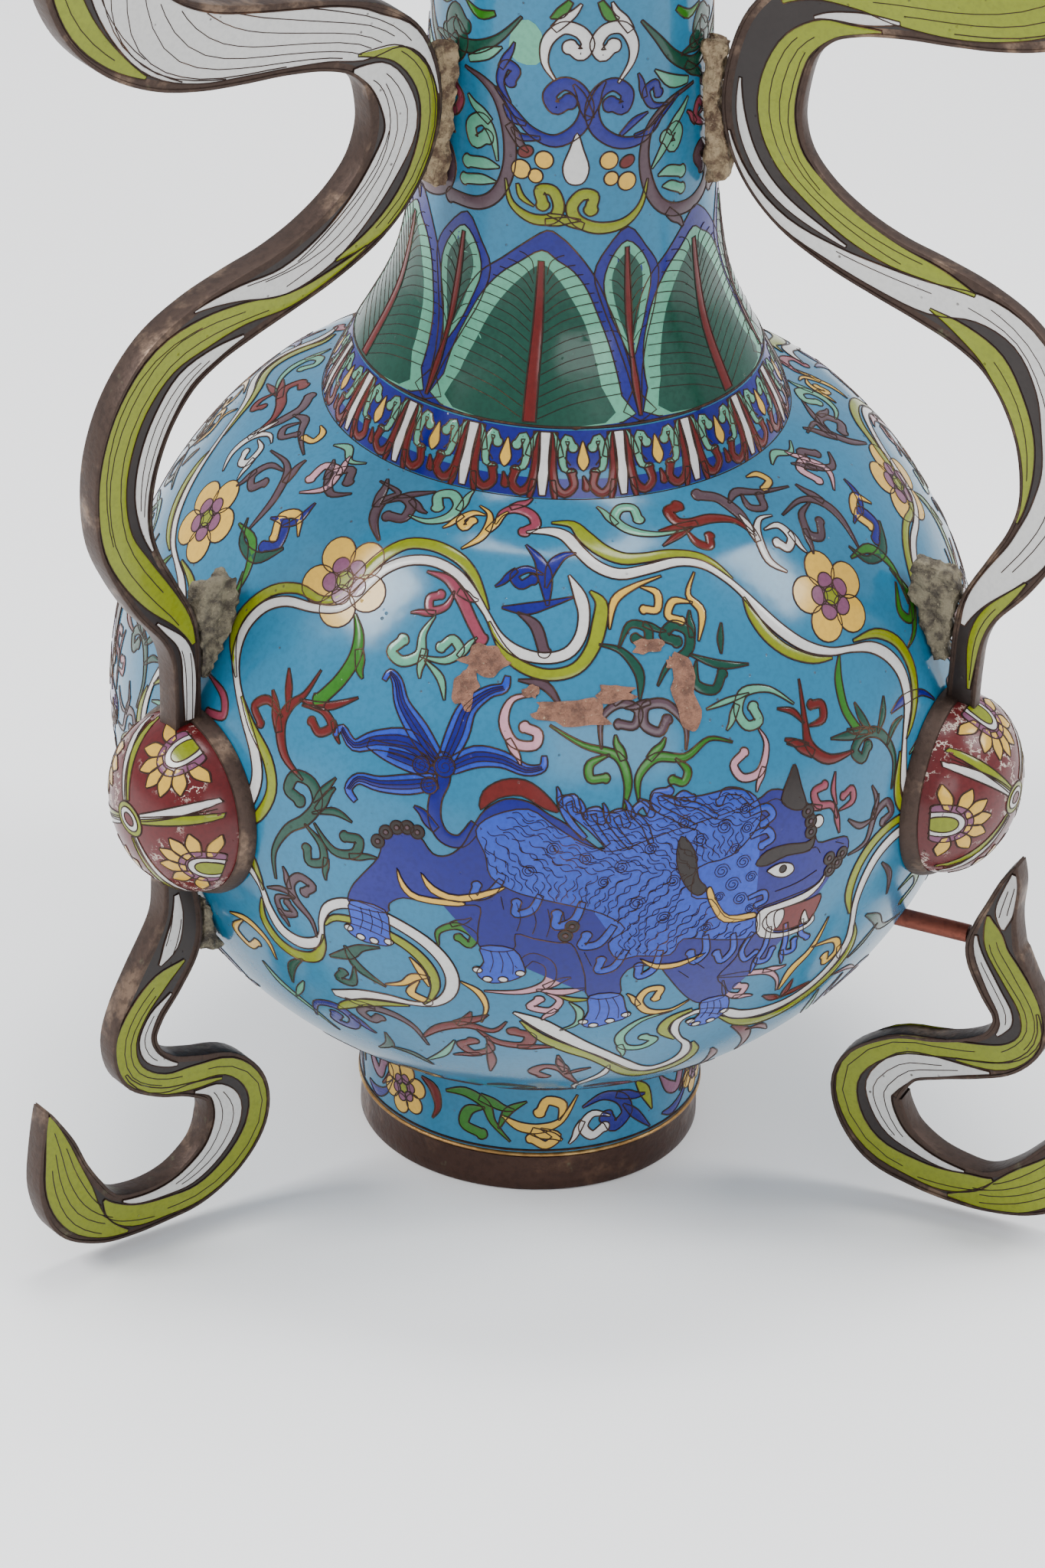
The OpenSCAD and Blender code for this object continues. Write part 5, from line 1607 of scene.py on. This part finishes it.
MANE = [
    (-15.6, 9), (-13.4, 11.4), (-9, 12.6), (-5.6, 10.4), (-2, 8), (1, 7), (-1, 9.6), (-3.6, 12),
    (-5.4, 14.2), (-3.4, 14.6), (-2.6, 12.4), (-0.6, 12.6), (1.6, 12.2), (4, 12.4), (6.4, 11.4),
    (7.4, 14.6), (10.4, 13.6), (14, 13.4), (18.4, 13.6), (21.6, 11.8), (22, 8), (18, 4), (13.4, 3),
    (12.6, -1.4), (15.4, -2.4), (17.4, -5.6), (20, -6.8), (22.2, -7.2), (22, -10.4), (17, -9.6), (12, -8.4),
    (10.4, -11), (6, -10.6), (3.4, -11), (2, -8), (4, -5.6), (1, -3), (-3, -1.6), (-7, -0.6), (-10.4, 0.4),
    (-13.4, 2.4), (-14.2, 5.6),
]
pad(BELLY, "belly", "cobalt", BODY, 3, lift=0.2)
pad(BELLY, "belly", "azure", MANE, 3, lift=0.25)
SADDLE = [
    (-15.2, 12), (-15, 14.6), (-12.6, 16.4), (-9.6, 16.6), (-7, 15), (-5, 12.4), (-7, 12.8), (-10, 14.4),
    (-13, 13.8),
]
pad(BELLY, "belly", "maroon", SADDLE, 3, lift=0.16)
PAWS = [
    [(-32, -5.4), (-32, -9), (-32.6, -10.8), (-30.8, -11.9), (-28.8, -12), (-26.6, -11.6), (-26.6, -9.6),
        (-27.2, -5.6)],
    [(-14.4, -9.2), (-14, -12), (-15, -14.2), (-13.6, -15.8), (-11.4, -15.6), (-9, -14.2), (-8.6, -12.8),
        (-10.2, -9.2)],
    [(0.2, -18), (0.3, -21.4), (-0.4, -24.4), (1.2, -25.3), (3.6, -24.4), (5.9, -23.2), (5.4, -21),
        (4.2, -17.8)],
    [(16.6, -21.8), (17, -25), (15.8, -27), (17, -28), (19.4, -27.8), (21.2, -26), (21.4, -24),
        (20.2, -21.6)],
]
for paw in PAWS:
    pad(BELLY, "belly", "azure", paw, 3, lift=0.26)
    left, right = paw[0], paw[-1]
    for u, v in paw[2:6]:
        claw = u * 0.94 + (left[0] + right[0]) * 0.03
        round_cell(BELLY, "belly", "white", claw, v + 0.6, 1.5, 1.2, lift=0.31)
    for k in (0.3, 0.55, 0.8):
        top = (left[0] + (right[0] - left[0]) * k, left[1] - 0.6)
        foot_end = (paw[2][0] + (paw[5][0] - paw[2][0]) * k, paw[3][1] + 2)
        middle = ((top[0] + foot_end[0]) / 2 + 0.4, (top[1] + foot_end[1]) / 2)
        fine_wire(BELLY, "belly", [top, middle, foot_end], 3, 0.17, 0.2, 0.42)


def hair(points):
    """A fine wire laid over the lion's cells."""
    fine_wire(BELLY, "belly", points, 3, 0.17, 0.16, 0.42)


def inside(outline, u, v):
    """Whether a place lies inside a closed outline."""
    found = False
    for (a, b), (c, d) in zip(outline, outline[1:] + outline[:1]):
        if (b > v) != (d > v) and u < (c - a) * (v - b) / (d - b) + a:
            found = not found
    return found


# %% Combing the mane
comb = random.Random(7)
locks = 0
for row in range(26):
    for column in range(19):
        u = -15 + column * 2.05 + (row % 2) * 1.0 + comb.uniform(-0.25, 0.25)
        v = 14 - row * 0.98 + comb.uniform(-0.15, 0.15)
        if not inside(MANE, u, v):
            continue
        lean = -0.35 - 0.9 * math.sin((u + 15) / 9) if v > 4 else 0.25 + 0.5 * math.sin((u + v) / 6)
        if v > 9:
            lean = -1.25
        a = math.radians(90) + lean
        wave = 0.36 if (row + column) % 2 else -0.36
        line = []
        for k in range(6):
            t = k / 5 * 3.0
            side = wave * math.sin(t * 2.1)
            across = u + t * math.cos(a) - side * math.sin(a)
            line.append((across, v - t * math.sin(a) * 0.9 - side * math.cos(a)))
        line = [p for p in line if inside(MANE, *p)]
        if len(line) > 2:
            hair(line)
            locks += 1
CURLED_LOCKS = [
    (-1.4, 5.6, 1.0), (3.2, 4.2, 1.1), (5.4, -1.6, 1.2), (1, 2, 0.9), (-5.6, 7, 1), (9, -4.4, 1.1),
    (13.6, 7, 1.1), (17, 8.4, 1.2), (18.4, 4.8, 0.9), (-8.6, 3.6, 1), (15, -7, 0.9), (20.2, 7.6, 0.9),
    (16.6, 1.8, 1.2), (19.6, 2.6, 1.1), (18.2, -0.6, 1.2), (20.8, 0, 0.9), (16.4, -2.2, 0.8),
    (19.4, -3.2, 1.1), (21, -5.2, 0.8), (10, 1.4, 1), (7, 6.6, 1), (11.4, 10, 1), (20, 10.4, 0.9),
]
for u, v, size in CURLED_LOCKS:
    ring = []
    for k in range(15):
        t = k / 14
        a = 4.6 * math.pi * t
        ring.append((u + size * (1 - 0.8 * t) * math.cos(a), v + size * (1 - 0.8 * t) * math.sin(a)))
    hair(ring)
print("locks", locks)

# %% Curls on the mane's crest, tail, face and markings
MANE_CURLS = [
    ([(-1.6, 8.6), (-3.8, 11.4), (-4.6, 13.6), (-3.2, 14.4), (-2.8, 13.2)], 1.0),
    ([(1.4, 7.6), (-0.2, 10), (-1.4, 12), (0, 12.6), (0.4, 11.4)], 1.0),
    ([(4.4, 7), (2.6, 9.4), (1.6, 11.4), (3, 12.2), (3.6, 10.8)], 1.0),
    ([(7, 7.4), (6.2, 10), (4.8, 12), (6, 13.2), (6.8, 12)], 1.0),
    ([(13, 9), (10, 11), (7.8, 12.6), (7.6, 14.4), (9.2, 14.6)], 1.1),
    ([(16, 10), (13.4, 12), (10.6, 13), (11.4, 14), (12.4, 13.4)], 0.9),
    ([(21, 11), (19.6, 12.8), (17.4, 13.4), (16.6, 12.4)], 1.0),
    ([(20.6, 9.6), (23, 10), (24, 8.6), (22.8, 7.8)], 1.1),
    ([(20.6, 6.2), (23, 6.6), (23.8, 5.2), (22.6, 4.6)], 1.1),
    ([(20.6, -3.4), (22.8, -3), (23.2, -4.4), (22.2, -4.8)], 0.9),
    ([(-12, 2), (-13.4, -0.2), (-15.4, -1), (-15.2, 0.4)], 1.2),
    ([(-7, 0), (-8, -2.4), (-10, -3.2), (-10, -1.8)], 1.2),
    ([(-1.6, -1), (-2.6, -4), (-4.8, -5), (-4.8, -3.4)], 1.3),
    ([(2.6, -5), (0.8, -8), (-1.4, -8.4), (-1, -7)], 1.3),
    ([(4.4, -9.4), (3, -12.4), (1, -13), (1.2, -11.4)], 1.2),
    ([(9, -10), (8.4, -13.4), (6.6, -14.6), (6.4, -13)], 1.2),
    ([(15, -8.4), (15.4, -11.4), (14, -13), (13.4, -11.6)], 1.2),
    ([(19, -9), (19.4, -12), (18, -13.8), (17.2, -12.4)], 1.1),
    ([(22, -9.6), (20.8, -12.4), (21.6, -14.6), (22.8, -13.8)], 0.9),
    ([(24.4, -9.4), (24.4, -12.8), (23.6, -15.4), (25.2, -15.8), (25.6, -14.2)], 1.0),
    ([(27, -9.6), (27.6, -12.8), (27.8, -15.2), (29.4, -15.4), (29.2, -13.8)], 1.0),
    ([(29.6, -9.8), (30, -12.4), (31.2, -13.6)], 0.9),
]
for points, half in MANE_CURLS:
    vine(BELLY, "belly", "azure", points, half, "bulb", start=0.9, lifted=0.14)
vine(BELLY, "belly", "cobalt", [(-15.6, 9.8), (-17.4, 7.2), (-19.6, 7.4), (-21, 9.6), (-21.2, 12.6),
                                (-20.4, 15.4),
                                (-20.6, 17.6)], 1.9, "bulb", start=1.1)
TUFTS = [
    [(-21.4, 17.8, 2.6), (-24.6, 21.4, 3.4), (-27.6, 24.6, 2.4), (-29, 27.4, 1.7), (-30.4, 28.4, 1),
        (-31, 27.2, 0.8)],
    [(-22, 17.6, 2.8), (-26, 19.6, 4.2), (-30.4, 19, 3), (-33.4, 17.6, 1.8), (-35.6, 19.4, 1.2),
        (-36.4, 18, 0.8)],
    [(-21.6, 16.4, 2.6), (-25, 17.4, 3.8), (-28.4, 17.8, 2.8), (-31.4, 18.4, 1.4)],
    [(-21.2, 15.2, 2.4), (-25, 14, 3.2), (-29, 13.2, 2.4), (-32, 13.2, 1.7), (-33.2, 11.4, 1.3),
        (-32, 10, 0.9)],
    [(-20.4, 18.2, 2.6), (-19.2, 22, 3.6), (-18.2, 25.6, 2.8), (-15.6, 28, 1.9), (-13.4, 28.8, 1.5),
        (-13, 30.4, 0.9)],
    [(-19.6, 17.4, 2.6), (-16.4, 19.2, 3.4), (-12.8, 19.2, 2.6), (-9.6, 18, 1.8), (-7.4, 18.4, 1.3),
        (-7.2, 20, 0.8)],
]
for lobe in TUFTS:
    strap(BELLY, "belly", "azure", lobe, 4, lifted=0.03)
    inner = [(u, v, half * 0.62) for u, v, half in lobe[:-1]]
    strap(BELLY, "belly", "cobalt", inner, 4, edged=False, lifted=0.09)
    for part in (-0.45, 0, 0.45):
        track = rails(BELLY, lobe)
        hair([(u + du * part, v + dv * part) for u, v, du, dv in track[:-1]])
for u, v, size in ((-23.6, 17, 1.25), (-20.4, 17.3, 1.5), (-22.2, 14.4, 1.2)):
    round_cell(BELLY, "belly", "cobalt", u, v, size * 2.2, lift=0.32)
    hair([(u + size * (0.9 - 0.75 * k / 11) * math.cos(k), v + size * (0.9 - 0.75 * k / 11) * math.sin(k))
          for k in range(12)])
FACE = [
    ("white", [(23.2, 0.4), (25, 1), (26.8, 0.4), (27.2, -0.8), (26, -1.4), (24.6, -1), (23.6, -0.2)],
        0.34),
    ("white", [(22.6, -6), (25, -5.6), (29, -5.2), (31.6, -4.2), (32.6, -2.8), (32.2, -4.4), (30, -6.2),
        (26.6, -6.6), (24.2, -6.8), (23.2, -8.4), (24.4, -10.2), (27, -11.2), (30.6, -11), (31.4, -9.6),
        (31.8, -10.8), (30.4, -11.8), (26.8, -12), (23.2, -10.8), (22.2, -8)], 0.3),
    ("maroon", [(23.8, -7), (26, -6.6), (30, -6.6), (32.2, -6.4), (32, -8.4), (30.8, -10.4), (27, -10.8),
        (24.4, -9.6)], 0.28),
    ("white", [(25, -7), (26.2, -6.8), (26.4, -8.4), (25.6, -10), (25, -8.6)], 0.33),
    ("white", [(29.8, -8.2), (30.4, -9.4), (30.8, -10.6), (29.8, -10.6), (29.4, -9.4)], 0.33),
    ("ochre", [(15.2, -0.4), (16.2, -3), (18, -5.6), (21.6, -6), (21.6, -7), (17.4, -6.6), (15.4, -3.6),
        (14.6, -1)], 0.34),
    ("ochre", [(-25.6, 1.6), (-24.6, -0.4), (-22.6, -2), (-17, -2), (-17.4, -2.8), (-22.8, -2.9),
        (-25, -1.2)], 0.34),
    ("ochre", [(-22.4, 1.6), (-20.6, -0.2), (-17.4, -1.1), (-11.6, 1), (-13.4, -0.6), (-17.4, -2.1),
        (-21, -1.2)], 0.34),
    ("ochre", [(6.4, -11.2), (8.6, -12.4), (11.6, -12.6), (15.4, -11.6), (12, -13.4), (8.6, -13.3)], 0.34),
    ("brown", [(11, 8), (12.8, 5.6), (13.4, 1.4), (14.6, -0.4), (13.4, -1.4), (11.6, 0.6), (10.4, 4.4)],
        0.34),
    ("brown", [(25.4, 10.6), (27, 13.6), (28, 14.8), (28.6, 11.6), (29.2, 8.6), (28, 8.2), (26.4, 9)],
        0.34),
    ("brown", [(21.4, 1.8), (23, 3.4), (26, 3.6), (29, 3), (30.4, 3.4), (29.6, 1.6), (26, 1.9), (23, 1.2)],
        0.34),
]
for glass, outline, lift in FACE:
    pad(BELLY, "belly", glass, outline, 3, lift=lift)
round_cell(BELLY, "belly", "brown", 25.5, 0, 1.3, lift=0.38)
round_cell(BELLY, "belly", "white", 31, 5.6, 2.1, lift=0.3)
for spots in ([(29.4, 7.6), (29.8, 6), (29.8, 4.4)], [(33, -0.8), (34.4, -2), (33.2, -2.8), (35.2, -0.8)],
              [(-28.4, 5), (-27.4, 6.6), (-26, 7.6), (-24.6, 7.9), (-23.2, 7.5)], [(-2.8, -5), (-3.6, -6.6)]):
    for u, v in spots:
        round_cell(BELLY, "belly", "brown", u, v, 2.2, lift=0.34)
        round_cell(BELLY, "belly", "taupe", u, v, 0.8, lift=0.39)
for points in ([(20.8, 8), (22.4, 9), (23.4, 7.4), (22, 6.4)], [(28.6, 1.6), (30.6, 1.8), (31.4, 0.6)],
               [(34, 1.4), (35.4, 0.6)], [(-1, -9.6), (0, -12)], [(12, -14.4), (13.6, -16)], [(14, -13),
                (15.6, -14.6)],
               [(22.6, 10.4), (24.6, 10.8), (26, 9.6)], [(24.6, -3.4), (28, -3), (31, -2)],
               [(-8, -2), (-7.4, -4.4), (-7.8, -6.4)], [(-10, -1.4), (-9.4, -3.8), (-9.8, -6)],
               [(-6, -2.2), (-5.6, -4.6), (-6, -6.8)], [(-4, -2.6), (-3.8, -4)], [(-12, -0.6),
                (-11.6, -2.6)]):
    hair(points)
print("lion laid")

# %% [markdown]
# ## Foot, lost enamel and old joints
#
# The foot ring carries a small border of the same scrolls. On the shoulder a knock has broken
# glass away and left rough patches of bare copper. Solder and resin have been smeared over every
# joint more than once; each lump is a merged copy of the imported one, made uneven.

# %% Scrolls of the foot
FOOT_VINES = [
    ("leaf", [(-36, 33), (-29, 34.5), (-22, 31.5), (-19, 25), (-13, 18.5)], 2.0, "tip"),
    ("leaf", [(-22, 30), (-27.5, 28), (-29, 22.5), (-24, 20.5)], 1.6),
    ("leaf", [(-17, 23), (-14, 30), (-8, 34)], 1.6, "tip"),
    ("ochre", [(-16, 28), (-10, 24.5), (-3, 24), (4, 27), (9, 36)], 2.0, "tip"),
    ("ochre", [(3, 27), (4, 32.5), (-1, 34.5), (-3, 31)], 1.5),
    ("ochre", [(-3, 24), (2.4, 21), (-1, 17.6), (-5, 19.6)], 1.4),
    ("white", [(21, 26), (14.6, 28), (11.4, 23.6), (14.6, 19.8), (18, 21.6)], 1.5),
    ("cobalt", [(11, 31), (18, 34), (25, 31.4), (27.6, 25.6), (23, 21.6), (20.6, 24.6)], 1.9),
    ("cobalt", [(26, 29), (31, 24), (38, 16.6)], 1.8, "tip"),
    ("chartreuse", [(31, 36), (35, 31), (38.6, 23)], 2.4, "tip"),
    ("mauve", [(42, 34), (47, 28), (52, 26), (54, 31)], 1.8),
    ("cobalt", [(44, 19), (50, 18), (56, 21), (60, 27)], 1.7, "tip"),
    ("maroon", [(-64, 34), (-61, 29), (-66, 23)], 1.8, "tip"),
    ("maroon", [(-46, 34.6), (-41, 32), (-39, 26), (-41, 21)], 1.8, "tip"),
]
for glass, points, half, *end in FOOT_VINES:
    vine(FOOT, "foot", glass, points, half, *end)
flower(FOOT, "foot", -54, 27, 9.5, petals=6, turned_by=10)
for v in (15.6, 39.4):
    ring_wire(FOOT, "foot_rings", v, 0.5)

# %% Bare patches where glass was knocked off
chips = random.Random(31)
BARE_PATCHES = [
    (-3.2, 26, 6.4, 2.3), (2.6, 28.4, 3.2, 1.4), (12.8, 27.4, 2.2, 6), (8, 34.4, 2.6, 1.2),
    (-16.8, 32.2, 3.8, 2.3), (-18.8, 28.6, 2, 3.4), (11.6, 31.8, 1.2, 1), (-9.4, 28.6, 1.4, 1),
]
for u, v, wide, high in BARE_PATCHES:
    edge = []
    for k in range(17):
        a = math.tau * k / 17
        far = chips.uniform(0.62, 1.12)
        edge.append((u + wide * far * math.cos(a), v + high * far * math.sin(a)))
    pad(BELLY, "losses", "loss", edge, 2, edged=False, lift=0.34)
print("foot vines", len(FOOT_VINES))

# %% Solder and resin


def lump(name, nodes, material, slot, grain):
    """An uneven crust: merged copies of packed lumps, remeshed, smoothed and roughened."""
    bm = bmesh.new()
    for node in nodes:
        packed = bpy.data.objects[node]
        copy = packed.data.copy()
        copy.transform(packed.matrix_world)
        bm.from_mesh(copy)
        bpy.data.meshes.remove(copy)
    rough = bpy.data.meshes.new(name + "_rough")
    bm.to_mesh(rough)
    bm.free()
    holder = bpy.data.objects.new(name + "_rough", rough)
    bpy.context.scene.collection.objects.link(holder)
    remesh = holder.modifiers.new("even_cells", "REMESH")
    remesh.mode = "VOXEL"
    remesh.voxel_size = 0.0011
    bpy.context.view_layer.update()
    even = bpy.data.meshes.new_from_object(holder.evaluated_get(bpy.context.evaluated_depsgraph_get()))
    bpy.data.objects.remove(holder)
    bm = bmesh.new()
    bm.from_mesh(even)
    for step in range(5):
        bmesh.ops.smooth_vert(
            bm, verts=bm.verts, factor=0.5, use_axis_x=True, use_axis_y=True, use_axis_z=True,
        )
    bm.normal_update()
    for vert in bm.verts:
        swell = noise.noise(vert.co * (1000 / grain)) + 0.5 * noise.noise(vert.co * (2600 / grain))
        vert.co += vert.normal * (0.0017 * swell - 0.0011)
    return add_piece(name, bm, material, nodes)


packed_names = sorted(o.name for o in bpy.data.objects if "solder" in o.name)
for node in packed_names:
    lump(node + "_crust", [node], METAL["resin" if node.startswith("neck") else "solder"], "old_solder", 5)
print("crusts", packed_names)

# %% The prop pin
pin = bpy.data.objects["tail_pin"]
pin.data.materials.clear()
pin.data.materials.append(METAL["red_copper"])
print("pin faces", len(pin.data.polygons))

# %% [markdown]
# ## Gathering the cells
#
# All pads of one glass in one zone become one piece, and so do all its wires, so that the object
# stays light and each piece holds one finish. The belly's wires are many, so each third of them
# is a piece of its own.

# %% Pieces from the bench
for (zone, glass), bm in sorted(BENCH.items()):
    bmesh.ops.remove_doubles(bm, verts=bm.verts, dist=2e-6)
    is_wire = glass == "wire"
    if zone == "belly" and is_wire:
        for k in (1, 2):
            turned_wire = bm.copy()
            spin = Matrix.Rotation(math.radians(120 * k), 4, "Z")
            bmesh.ops.transform(turned_wire, matrix=spin, verts=turned_wire.verts)
            add_piece(f"belly_wire_turned_{k}", turned_wire, METAL["cell_wire"])
    elif zone in ("belly", "neck", "foot"):
        three_times(bm)
    finish = METAL["cell_wire"] if is_wire else GLASS.get(glass) or METAL[glass]
    faces = len(bm.faces)
    add_piece(f"{zone}_{glass}", bm, finish)
    print(zone, glass, faces)

low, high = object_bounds()
print("visual box", [round(x, 4) for x in low], [round(x, 4) for x in high])
